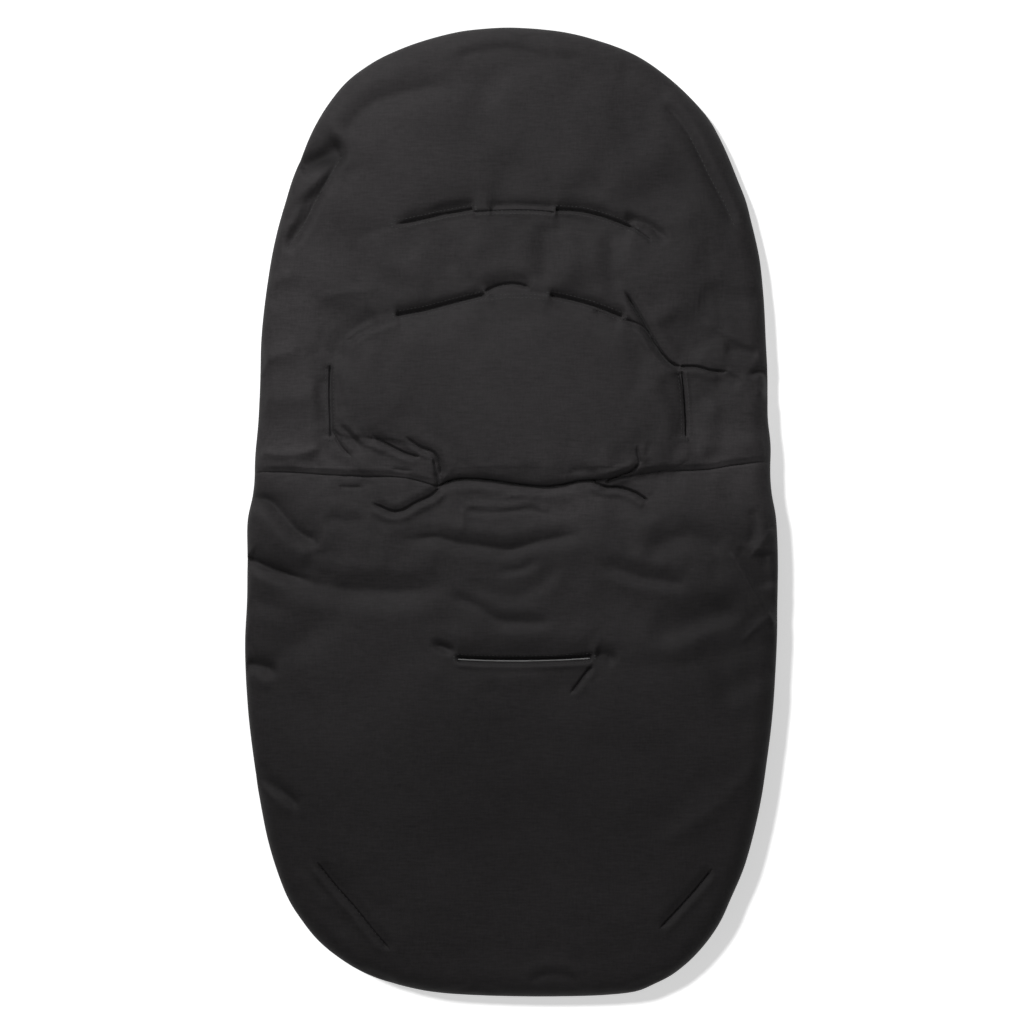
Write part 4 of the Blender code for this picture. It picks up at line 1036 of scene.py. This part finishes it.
def stuffed(sign, nu, nv, seed):
    """Relief that the outer fabric takes when the wadding pushes it up between its seams, from a cloth simulation.

    Returns the simulation's own us and vs and the rise at each, in millimetres.
    """
    us, vs = spaced(nu) * 2 - 1, spaced(nv)
    x, y, _, _ = half_grid(sign, SEAM_Y, 20.0, us, vs)
    y = seam_bend(x, y)
    start = back_top(x, y)
    firm = grooves(x, y)
    w, h = len(us), len(vs)
    firm = firm.reshape(h, w)
    firm[:, 0] = firm[:, -1] = firm[-1, :] = firm[0, :] = 1.0
    firm = firm.ravel()
    rng = np.random.RandomState(seed)
    j, i = np.meshgrid(np.arange(h - 1), np.arange(w - 1), indexing="ij")
    a = (j * w + i).ravel()
    faces = np.stack([a, a + 1, a + 1 + w, a + w], axis=1)
    if sign < 0:
        faces = faces[:, ::-1]
    nudge = rng.uniform(-0.12, 0.12, x.shape) * (1 - firm)
    obj = new_object("stuffing_form", np.stack([x, y, start + nudge], axis=1), faces.tolist(), [])
    group = obj.vertex_groups.new(name="sewn")
    for k, value in enumerate(firm):
        if value > 0.02:
            group.add([k], float(value), "REPLACE")
    cloth = obj.modifiers.new("cloth", "CLOTH")
    cloth.settings.quality = 6
    cloth.settings.mass = 0.25
    cloth.settings.tension_stiffness = 18
    cloth.settings.compression_stiffness = 18
    cloth.settings.shear_stiffness = 6
    cloth.settings.bending_stiffness = 0.9
    cloth.settings.tension_damping = 8
    cloth.settings.compression_damping = 8
    cloth.settings.air_damping = 3
    cloth.settings.vertex_group_mass = "sewn"
    cloth.settings.pin_stiffness = 1.0
    cloth.settings.shrink_min = -0.032
    cloth.settings.use_pressure = True
    cloth.settings.uniform_pressure_force = 0.9
    cloth.settings.effector_weights.gravity = 0.0
    cloth.collision_settings.use_collision = False
    cloth.collision_settings.use_self_collision = False
    scene = bpy.context.scene
    scene.frame_start, scene.frame_end = 1, 22
    cloth.point_cache.frame_start, cloth.point_cache.frame_end = 1, 22
    for f in range(1, 23):
        scene.frame_set(f)
    done = obj.evaluated_get(bpy.context.evaluated_depsgraph_get())
    co = np.zeros(len(done.data.vertices) * 3)
    done.data.vertices.foreach_get("co", co)
    rise = co.reshape(-1, 3)[:, 2] / MM - start
    mesh = obj.data
    bpy.data.objects.remove(obj)
    bpy.data.meshes.remove(mesh)
    scene.frame_set(1)
    return us, vs, rise.reshape(h, w)


def read_relief(relief, us, vs, sign, cap=3.2):
    """The simulated rise at the points of a finer grid, with soft limits; less of it where the pad is stuffed tight."""
    su, sv, rise = relief
    rise = cap * np.tanh(rise / cap)
    for _ in range(2):
        rise[1:-1, 1:-1] = rise[1:-1, 1:-1] * 0.5 + (rise[:-2, 1:-1] + rise[2:, 1:-1] + rise[1:-1, :-2] + rise[1:-1, 2:]) * 0.125
    iu = np.interp(us, su, np.arange(len(su)))
    iv = np.interp(vs, sv, np.arange(len(sv)))
    i, j = np.clip(iu.astype(int), 0, len(su) - 2), np.clip(iv.astype(int), 0, len(sv) - 2)
    f, g = smooth(iu - i) * 0.5 + (iu - i) * 0.5, smooth(iv - j) * 0.5 + (iv - j) * 0.5
    f, g = f[None, :], g[:, None]
    J, I = j[:, None], i[None, :]
    out = (rise[J, I] * (1 - f) + rise[J, I + 1] * f) * (1 - g) + (rise[J + 1, I] * (1 - f) + rise[J + 1, I + 1] * f) * g
    for _ in range(5):
        out[1:-1, 1:-1] = out[1:-1, 1:-1] * 0.5 + (out[:-2, 1:-1] + out[2:, 1:-1] + out[1:-1, :-2] + out[1:-1, 2:]) * 0.125
    x, y, _, _ = half_grid(sign, SEAM_Y, 20.0, us, vs)
    y = seam_bend(x, y)
    loose = smooth((EDGE(x, y) - 20.0) / 34.0)
    inner = np.exp(-((np.abs(x - 2) / 124) ** 4 + (np.abs(y - at(0, 392)[1]) / 62) ** 4))
    loose *= 1 - 0.75 * inner
    loose *= np.where(y < SEAM_Y, 0.3 + 0.35 * smooth((y - at(0, 790)[1]) / 120.0), 1.0)
    return out.ravel() * loose


nu, nv_low, nv_high = ((240, 238, 198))
rim_high = (
    (0.05, 0.08, 0), (0.40, 0.15, 0), (1.25, 0.19, 0), (0.40, 0.23, 0), (0.35, 0.32, 0), (0.9, 0.48, 0), (2.2, 0.66, 0),
    (4.2, 0.81, 0), (5.0, 0.86, 1), (7.0, 0.93, 1), (10.5, 0.98, 1), (14.5, 1.0, 1),
)
rim_low = rim_high[:8] + ((5.5, 0.88, 0), (7.5, 0.94, 0), (ZIP_INSET + 0.8, 0.98, 0), (14.5, 1.0, 1))
dense_low = ((0.0, 0.035, 3.0), (0.355, 0.03, 2.2))
dense_high = ((0.0, 0.045, 3.0), (0.36, 0.05, 1.6), (0.565, 0.045, 1.4))
dense_u_high = ((0.155, 0.02, 1.6), (0.845, 0.02, 1.6))
BLEND = {"start": (0, 0.012, 0), "end": (0, 0.062, 0)}
SHARP = [fold.curve for fold in FOLDS if fold.fine]
panels = {}
for name, sign, us, vs, sim in (
    ("lower_back_pad", -1, spaced(nu) * 2 - 1, spaced(nv_low, dense_low), (76, 76, 3)),
    ("upper_back_pad", 1, spaced(nu, dense_u_high) * 2 - 1, spaced(nv_high, dense_high), (76, 66, 4)),
):
    relief = read_relief(stuffed(sign, *sim), us, vs, sign)
    rings = rim_high if sign > 0 else rim_low
    panels[name] = pillow(name, sign, SEAM_Y, us, vs, back_top, back_low, (20.0, 12), rings, [SHELL, FLEECE], seam_bend, relief=relief)
    refine(panels[name], relief, len(us), back_top, SHARP, ((4.2, 2.2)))
lower_back, upper_back = panels["lower_back_pad"], panels["upper_back_pad"]
# each pad carries its painted sheen and painted shade patches as a point attribute that scales the outer fabric's
# colour
for panel in panels.values():
    spots = np.zeros(len(panel.data.vertices) * 3)
    panel.data.vertices.foreach_get("co", spots)
    spots = spots.reshape(-1, 3) / MM
    panel.data.attributes.new("painted_sheen_and_shade", "FLOAT", "POINT").data.foreach_set("value", painted_sheen_and_shade(spots[:, 0], spots[:, 1]).astype(np.float32))
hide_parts("lower_back_shell", "lower_back_wadding", "lower_back_lining")
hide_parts("upper_back_shell", "upper_back_wadding", "upper_back_lining")
for pad in (lower_back, upper_back):
    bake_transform(pad, "lower_back", "upper_back", **BLEND)

# heights read off the finished pads
SURFACE = [BVHTree.FromObject(pad, bpy.context.evaluated_depsgraph_get()) for pad in (lower_back, upper_back)]


def hit(x, y, start, way, other):
    out = []
    for px, py in zip(np.atleast_1d(x), np.atleast_1d(y)):
        found = [tree.ray_cast(Vector((px * MM, py * MM, start)), Vector((0.0, 0.0, way)))[0] for tree in SURFACE]
        found = [p.z / MM for p in found if p is not None]
        out.append((max(found) if way < 0 else min(found)) if found else float(other(np.array([float(px)]), np.array([float(py)]))[0]))
    return np.array(out)


def face_height(x, y):
    return hit(x, y, 0.2, -1.0, back_top)


def lining_height(x, y):
    return hit(x, y, -0.1, 1.0, back_low)


# ---------------------------------------------------------------- slots: the bound edge of each, and its stitches
CAD_BINDING = (
    "shoulder_slot_binding_top_left", "shoulder_slot_binding_top_right", "shoulder_slot_binding_low_left",
    "shoulder_slot_binding_low_right", "lap_slot_binding_left", "lap_slot_binding_right", "crotch_slot_binding",
)


def slot_edging(name, curve, lip):
    """A flat sleeve through the pad, closed to a slit, with a bound ring on the lining. lip lifts its near edge into view."""
    curve = resample(curve, 26, False)
    t = tangents(curve)
    nrm = np.stack([-t[:, 1], t[:, 0]], axis=1)
    turn = np.linspace(90, -90, 9)[1:-1]
    mid, out = list(curve), list(nrm)
    for a in turn:
        mid.append(curve[-1])
        out.append(math.cos(math.radians(a)) * t[-1] + math.sin(math.radians(a)) * nrm[-1])
    mid += list(curve[::-1])
    out += list(-nrm[::-1])
    for a in turn:
        mid.append(curve[0])
        out.append(-math.cos(math.radians(a)) * t[0] - math.sin(math.radians(a)) * nrm[0])
    mid, out = np.array(mid), np.array(out)
    centre = curve.mean(0)
    deep = centre + (mid - centre) * 0.88
    high = face_height(deep[:, 0], deep[:, 1])
    low = lining_height(mid[:, 0], mid[:, 1])
    # the sleeve stays just under the outer fabric, except along its lip
    rim = np.min([face_height(mid[:, 0] + out[:, 0] * o, mid[:, 1] + out[:, 1] * o) for o in (0.3, 0.8, 1.3)], axis=0)
    raised = np.minimum(high, rim) - (0.9 if lip else 2.2) + lip * np.maximum(-out[:, 1], 0)
    profile = (
        (0.25, raised - 0.1), (0.45, raised + 0.25), (0.95, raised + 0.3), (1.25, raised - 0.1), (1.25, low + 1.2),
        (4.6, low + 0.5), (5.0, low - 0.2), (4.7, low - 0.75), (3.0, low - 0.95), (0.9, low - 0.8), (0.3, low - 0.3),
    )
    rings = [np.concatenate([mid + out * o, z[:, None]], axis=1) for o, z in profile]
    verts, faces = loft(np.stack(rings, axis=1), closed=True)
    obj = new_object(name, verts, faces, [BINDING], out=True)
    return obj


for (name, _), curve, node in zip(SLOTS, SLOT_LINES, CAD_BINDING):
    body = "lower_back" if name == "crotch_slot" else "upper_back"
    edging = slot_edging(name + "_edging", curve, 3.4 if name == "crotch_slot" else 0.0)
    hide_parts(node)
    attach(edging, body)
    fine = resample(curve, 40, False)
    for side in (-1, 1):
        stitch(body + "_slot_stitches", offset_curve(fine, side * 3.4), face_height, 2.2, 3.2, 0.24, 0.02)
        stitch(body + "_lining_stitches", offset_curve(fine, side * 3.4), lining_height, 2.4, 3.4, 0.26, 1.05, down=True)
    for end, nxt in ((0, 1), (-1, -2)):
        way = fine[end] - fine[nxt]
        way /= np.linalg.norm(way)
        across = np.array([-way[1], way[0]])
        for k in (1.2, 2.0):
            p = fine[end] + way * k
            stitch(body + "_slot_stitches", [p - across * 2.4, p + across * 2.4], face_height, 2.2, 2.4, 0.26, 0.05)

# stitched line between the two slots of each row, and the tack lines
for table in (((478, 211), (500, 210), (535, 210), (552, 211.5)), ((490, 295.8), (505, 294), (530, 294), (546, 295.8))):
    line = catmull([at(*p) for p in table], 8)
    stitch("upper_back_slot_stitches", line, face_height, 2.6, 3.6, 0.26, 0.05)
    stitch("upper_back_slot_stitches", offset_curve(line, -3.0), face_height, 2.6, 3.6, 0.26, 0.05)
for table, group in (
    (((319, 865), (335, 885), (355, 907.5), (373, 930), (384, 943)), "lower_back_slot_stitches"),
    (((711, 870), (695, 890), (677, 910), (661, 927)), "lower_back_slot_stitches"),
    (((342, 155), (330, 175), (317, 197), (305, 221), (294, 238), (286, 249)), "upper_back_slot_stitches"),
    (((690, 136), (700, 155), (710, 176), (726, 205), (735, 226)), "upper_back_slot_stitches"),
):
    line = catmull([at(*p) for p in table], 8)
    stitch(group, line, face_height, 2.8, 4.2, 0.30, 0.05)
    stitch(group.replace("slot", "lining"), line, lining_height, 2.8, 4.2, 0.30, 0.1, down=True)

for body in ("lower_back", "upper_back"):
    for kind in ("slot", "lining"):
        piece = sewn(f"{body}_{kind}_stitches", SEWING)
        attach(piece, body)

# ---------------------------------------------------------------- the front cover
fn, fv = ((180, 180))
front_rings = ((0.05, 0.10, 1), (0.45, 0.17, 1), (1.2, 0.21, 1), (0.45, 0.25, 1), (0.6, 0.42, 1), (1.6, 0.62, 1), (3.4, 0.80, 1), (6.0, 0.93, 1), (9.5, 1.0, 1))
front = pillow(
    "front_cover_pad", -1, MOUTH_Y, spaced(fn) * 2 - 1, spaced(fv, ((0.0, 0.03, 4.0),)), front_top, front_low, (9.0, 9),
    front_rings, [FLEECE, SHELL],
)
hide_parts("front_shell", "front_wadding", "front_lining")
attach(front, "front_cover")


def mouth_binding():
    """Folded tape over the mouth edge of the front cover."""
    xs = np.linspace(-203.2, 203.2, 220)
    rings = []
    for x in xs:
        tuck = smooth(min(x + 203.2, 203.2 - x) / 2.0)
        outer, inner = [], []
        for q in (13.0, 11.0, 8.0, 5.0, 3.0, 1.5):
            py = MOUTH_Y - q
            top = float(front_top(np.array([x]), np.array([py]), np.array([60.0]))[0])
            edge = 0.25 + 0.6 * min((13.0 - q) / 1.0, 1.0) * (0.4 + 0.6 * tuck)
            outer.append((py, top + edge))
            inner.append((py, top - 0.25))
        nose = [(MOUTH_Y + 0.9 * math.cos(math.radians(a)) * (0.5 + 0.5 * tuck), 9.0 + 5.2 * math.sin(math.radians(a))) for a in (70, 45, 20, 0, -20, -45, -70)]
        under, under_in = [], []
        for q in (1.5, 3.0, 5.0, 8.0, 11.0, 13.0):
            py = MOUTH_Y - q
            low = float(front_low(np.array([x]), np.array([py]), np.array([60.0]))[0])
            under.append((py, max(low - 0.75, 0.06)))
            under_in.append((py, low + 0.25))
        nose_in = [(MOUTH_Y - 0.6, 9.0 - 3.0), (MOUTH_Y - 0.6, 9.0 + 3.0)]
        loop = outer + nose + under + under_in[::-1] + nose_in + inner[::-1]
        wave = 0.18 * math.sin(x * 0.21) + 0.12 * math.sin(x * 0.53 + 1.0)
        rings.append([(x, py + wave, z) for py, z in loop])
    verts, faces = loft(rings)
    return new_object("front_mouth_binding_tape", verts, faces, [TAPE], out=True)


mouth = mouth_binding()
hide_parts("front_mouth_binding")
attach(mouth, "front_cover")
mouth_line = np.stack([np.linspace(-201, 201, 160), np.full(160, MOUTH_Y - 10.4)], axis=1)
stitch("front_mouth_stitches", mouth_line, lambda x, y: front_top(x, y, np.full(x.shape, 60.0)), 2.8, 3.8, 0.28, 0.95)
piece = sewn("front_mouth_stitches", SEWING)
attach(piece, "front_cover")

# ---------------------------------------------------------------- zips
def zip_line():
    """Right-hand zip line from the mouth, straight down the side, round the foot corner to the foot end."""
    half = [(w, y) for y, w in FRAME_HALF]
    curve = catmull(half + [(-x, y) for x, y in half[-2:0:-1]], 8, closed=True)
    step = np.roll(curve, -1, axis=0) - np.roll(curve, 1, axis=0)
    step /= np.linalg.norm(step, axis=1)[:, None]
    moved = curve + np.stack([step[:, 1], -step[:, 0]], axis=1) * ZIP_INSET
    edge = [p for p in moved if p[0] > 0 and p[1] < -262.0 and (p[0] > ZIP_END_X or p[1] > -300.0)]
    keep = [edge[round(k * (len(edge) - 1) / 6)] for k in range(7)]
    bend = [(ZIP_X, ZIP_STRAIGHT_END_Y), (ZIP_X - 1.6, ZIP_STRAIGHT_END_Y - 22.0)] + keep
    return np.vstack([[(ZIP_X, ZIP_TOP_Y)], catmull(bend, 6)])


ZIP_LINE = zip_line()
# the front cover's outer fabric wraps up over the edge as far as the zip
mesh = front.data
mid = np.zeros(len(mesh.polygons) * 3)
mesh.polygons.foreach_get("center", mid)
mid = mid.reshape(-1, 3) / MM
_, outside, _ = along(np.abs(mid[:, 0]), mid[:, 1], ZIP_LINE)
beyond = (outside > 0.3) & (np.abs(mid[:, 0]) > ZIP_END_X) | (EDGE(mid[:, 0], mid[:, 1]) < ZIP_INSET + 0.3)
# and over the mouth edge, under its binding and round the binding's ends
tucked = (mid[:, 1] > MOUTH_Y - 9.0) | (np.abs(mid[:, 0]) > 202.4) & (mid[:, 1] > MOUTH_Y - 13.0)
mesh.polygons.foreach_set("material_index", (beyond | tucked | (mid[:, 2] < 8.0)).astype(np.int32))

BLOCK = chamfered_block()
LENGTH = np.linalg.norm(np.diff(ZIP_LINE, axis=0), axis=1).sum()


def zip_side(tag, side):
    line = ZIP_LINE * np.array([side, 1.0])
    path = resample(line, 190, False)
    t = tangents(path)
    nrm = np.stack([-t[:, 1], t[:, 0]], axis=1)
    x, y = path[:, 0], path[:, 1]
    near = np.maximum(EDGE(x, y), 3.0)
    foot = front_top(x, y, near) - 1.6
    head = back_low(x, y, near) + 11.5 * (1 - quarter((near + 1.0) / 15.0)) + 2.4
    wave = 0.25 * np.sin(np.arange(len(x)) * 0.55) + 0.15 * np.sin(np.arange(len(x)) * 1.3)
    for row, z0, z1, body in (("front", foot, 23.9, "front_cover"), ("back", head, 27.3, "lower_back")):
        up = 1.0 if row == "front" else -1.0
        z1 = np.full(len(x), z1)
        loop = ((-0.42, z0), (-0.42, z0 * 0.5 + z1 * 0.5), (-0.42, z1 - up * 1.3), (-0.85, z1 - up * 0.9), (-0.85, z1 - up * 0.3), (-0.5, z1),
                (0.5, z1), (0.85, z1 - up * 0.3), (0.85, z1 - up * 0.9), (0.42, z1 - up * 1.3), (0.42, z0 * 0.5 + z1 * 0.5), (0.42, z0))
        rings = []
        for k, (o, z) in enumerate(loop):
            slack = wave if k in (1, 10) else 0.0
            rings.append(np.concatenate([path + nrm * np.atleast_1d(o + slack)[:, None], z[:, None]], axis=1))
        verts, faces = loft(np.stack(rings, axis=1))
        tape = new_object(f"zip_{row}_{tag}_tape", verts, faces, [TAPE], out=True)
        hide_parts(f"zip_tape_{row}_{tag}")
        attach(tape, body)
        # teeth
        count = int((LENGTH - 3.0) / 2.54)
        s = np.concatenate([[0], np.cumsum(np.linalg.norm(np.diff(line, axis=0), axis=1))])
        at_s = 1.6 + (np.arange(count) + (0.5 if row == "back" else 0.0)) * 2.54
        at_s = at_s[at_s < s[-1] - 1.4]
        px, py = np.interp(at_s, s, line[:, 0]), np.interp(at_s, s, line[:, 1])
        qx, qy = np.interp(at_s + 0.5, s, line[:, 0]), np.interp(at_s + 0.5, s, line[:, 1])
        ax = np.stack([qx - px, qy - py, 0 * px], axis=1)
        ax /= np.linalg.norm(ax, axis=1)[:, None]
        az = np.tile([0.0, 0.0, up], (len(px), 1))
        ay = np.cross(az, ax)
        z_mid = 24.15 if row == "front" else 27.05
        root = np.stack([px, py, np.full(len(px), z_mid)], axis=1)
        v1, f1 = stamp(BLOCK[0], BLOCK[1], root, ax, ay, az, np.tile([1.25, 2.9, 1.5], (len(px), 1)))
        tip = root + az * 0.75
        v2, f2 = stamp(BLOCK[0], BLOCK[1], tip, ax, ay, az, np.tile([1.75, 1.9, 0.8], (len(px), 1)))
        teeth = new_object(f"zip_{row}_{tag}_teeth", np.vstack([v1, v2]), f1 + [[i + len(v1) for i in f] for f in f2], [TEETH], out=True)
        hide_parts(f"zip_teeth_{row}_{tag}")
        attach(teeth, body)
        stop = refined(f"zip_{row}_{tag}_top_stop", f"zip_top_stop_{row}_{tag}", 0.3, METAL)
        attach(stop, body)
    end = refined(f"zip_{tag}_end_stop", f"zip_end_stop_{tag}", 0.3, METAL)
    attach(end, "front_cover")
    slider = refined(f"zip_{tag}_slider", f"zip_slider_{tag}", 0.28, METAL)
    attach(slider, f"slider_{tag}")
    pull = refined(f"zip_{tag}_pull", f"zip_pull_{tag}", 0.25, METAL)
    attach(pull, f"pull_{tag}")
    # ribbed grip moulded over the end of the pull
    lo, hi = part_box(f"zip_pull_{tag}")
    cx, cz = (lo.x + hi.x) / 2 / MM, (lo.z + hi.z) / 2 / MM
    y1 = lo.y / MM
    rings = []
    for k, py in enumerate(np.linspace(y1 - 0.9, y1 + 17.0, 44)):
        share = (py - (y1 - 0.9)) / 17.9
        width = 3.9 * math.sqrt(max(1 - (1 - min(share / 0.16, 1)) ** 2, 0.02)) * (1 - 0.12 * share)
        thick = (1.15 + (0.28 if (k // 3) % 2 and 0.15 < share < 0.85 else 0.0)) * math.sqrt(max(1 - (1 - min(share / 0.08, 1)) ** 2, 0.05)) * (0.55 if share > 0.97 else 1)
        rings.append([(cx + side * thick * math.copysign(abs(math.cos(a)) ** 0.5, math.cos(a)), py, cz + width * math.copysign(abs(math.sin(a)) ** 0.5, math.sin(a)))
                      for a in np.linspace(0, 2 * math.pi, 25)[:-1]])
    verts, faces = loft(rings)
    grip = new_object(f"zip_{tag}_pull_grip", verts, faces, [RUBBER], out=True)
    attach(grip, f"pull_{tag}")


zip_side("left", -1)
zip_side("right", 1)

# ---------------------------------------------------------------- foot gusset
def gusset():
    """Fabric wall across the foot end, which flexes as the back opens."""
    part = OUT[(OUT[:, 1] < -330) & (np.abs(OUT[:, 0]) < 99.0)]
    part = part[np.argsort(part[:, 0])]
    path = resample(part, 110, False)
    t = tangents(path)
    nrm = np.stack([-t[:, 1], t[:, 0]], axis=1)
    rings = []
    shape = ((6.6, 15.4), (5.2, 17.6), (4.4, 20.5), (4.0, 23.5), (4.0, 26.5), (4.4, 29.5), (5.2, 32.5), (6.6, 35.6))
    for k in range(len(path)):
        soft = 0.5 * math.sin(k * 0.5) + 0.35 * math.sin(k * 1.17 + 0.6)
        outer = [(o + soft * math.exp(-(((z - 25.0) / 5.0) ** 2)), z) for o, z in shape]
        inner = [(o + 1.1, z) for o, z in outer[::-1]]
        rings.append([(*(path[k] + nrm[k] * o), z) for o, z in outer + inner])
    verts, faces = loft(rings)
    return new_object("foot_gusset_fabric", verts, faces, [SHELL], out=True)


wall = gusset()
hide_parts("foot_gusset")
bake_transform(wall, "front_cover", "lower_back", start=(0, -0.395, 0.0185), end=(0, -0.395, 0.0315))

# ---------------------------------------------------------------- floor, light and camera
floor_mesh = bpy.data.meshes.new("floor")
floor_mesh.from_pydata([(-6, -6, 0), (6, -6, 0), (6, 6, 0), (-6, 6, 0)], [], [(0, 1, 2, 3)])
floor = bpy.data.objects.new("floor", floor_mesh)
bpy.context.scene.collection.objects.link(floor)
floor.location.z = -0.0004


def pale_floor(tree, shader):
    tree.links.new(ramp(tree, noise(tree, 3.0), [(0.3, grey(0.855)), (0.7, grey(0.865))]), shader.inputs["Base Color"])
    shader.inputs["Roughness"].default_value = 0.9
    shader.inputs["Specular IOR Level"].default_value = 0.1
    shader.inputs["Emission Color"].default_value = (1, 1, 1, 1)
    shader.inputs["Emission Strength"].default_value = 0.53


floor_mesh.materials.append(node_material("floor", pale_floor))

scene = bpy.context.scene
world = bpy.data.worlds.new("studio")
scene.world = world
world.use_nodes = True
fill = world.node_tree.nodes["Background"]
fill.inputs["Color"].default_value = (1, 1, 1, 1)
fill.inputs["Strength"].default_value = 0.16
# the room behind the floor is as pale as the floor is, and adds no more than the soft fill
path = world.node_tree.nodes.new("ShaderNodeLightPath")
backdrop = world.node_tree.nodes.new("ShaderNodeBackground")
backdrop.inputs["Color"].default_value = (1, 1, 1, 1)
backdrop.inputs["Strength"].default_value = 1.0
either = world.node_tree.nodes.new("ShaderNodeMixShader")
world.node_tree.links.new(path.outputs["Is Camera Ray"], either.inputs[0])
world.node_tree.links.new(fill.outputs[0], either.inputs[1])
world.node_tree.links.new(backdrop.outputs[0], either.inputs[2])
world.node_tree.links.new(either.outputs[0], world.node_tree.nodes["World Output"].inputs["Surface"])


def lamp(name, kind, location, target, energy, size=None, angle=None):
    data = bpy.data.lights.new(name, kind)
    data.energy = energy
    if kind == "AREA":
        data.shape = "DISK"
        data.size = size
    if angle is not None:
        data.angle = angle
    obj = bpy.data.objects.new(name, data)
    obj.location = location
    obj.rotation_euler = (Vector(target) - Vector(location)).to_track_quat("-Z", "Y").to_euler()
    scene.collection.objects.link(obj)
    return obj


def only(light, name, receives):
    """Flags a light: it reaches only the floor, or everything but the floor."""
    group = bpy.data.collections.new(name)
    group.objects.link(floor)
    light.light_linking.receiver_collection = group
    group.collection_objects[0].light_linking.link_state = "INCLUDE" if receives else "EXCLUDE"


key = lamp("floor_key", "SUN", (-0.345, 0.27, 1.0), (0, 0, 0), 2.0, angle=math.radians(5))
only(key, "floor_key_receivers", True)
head = lamp("head_softbox", "AREA", (-0.5, 1.3, 0.9), (0.0, 0.1, 0.0), 25.8, size=0.6)
only(head, "head_softbox_receivers", False)
over = lamp("over_softbox", "AREA", (-0.15, 0.22, 0.8), (0.0, 0.2, 0.0), 3.2, size=0.4)
only(over, "over_softbox_receivers", False)
foot = lamp("foot_softbox", "AREA", (0.2, -1.2, 0.8), (0.0, -0.2, 0.0), 2.5, size=0.8)
only(foot, "foot_softbox_receivers", False)

camera = bpy.data.objects.new("camera", bpy.data.cameras.new("camera"))
camera.data.lens = 200.0
camera.data.sensor_width = 36.0
camera.location = (0.0, 0.0, CAMERA_UP * MM)
camera.rotation_euler = (0.0, 0.0, 0.0)
camera.data.clip_start, camera.data.clip_end = 0.1, 40.0
scene.collection.objects.link(camera)
scene.camera = camera
scene.view_settings.view_transform = "Standard"
scene.view_settings.look = "None"
scene.view_settings.exposure = 0.0
scene.view_settings.gamma = 1.0
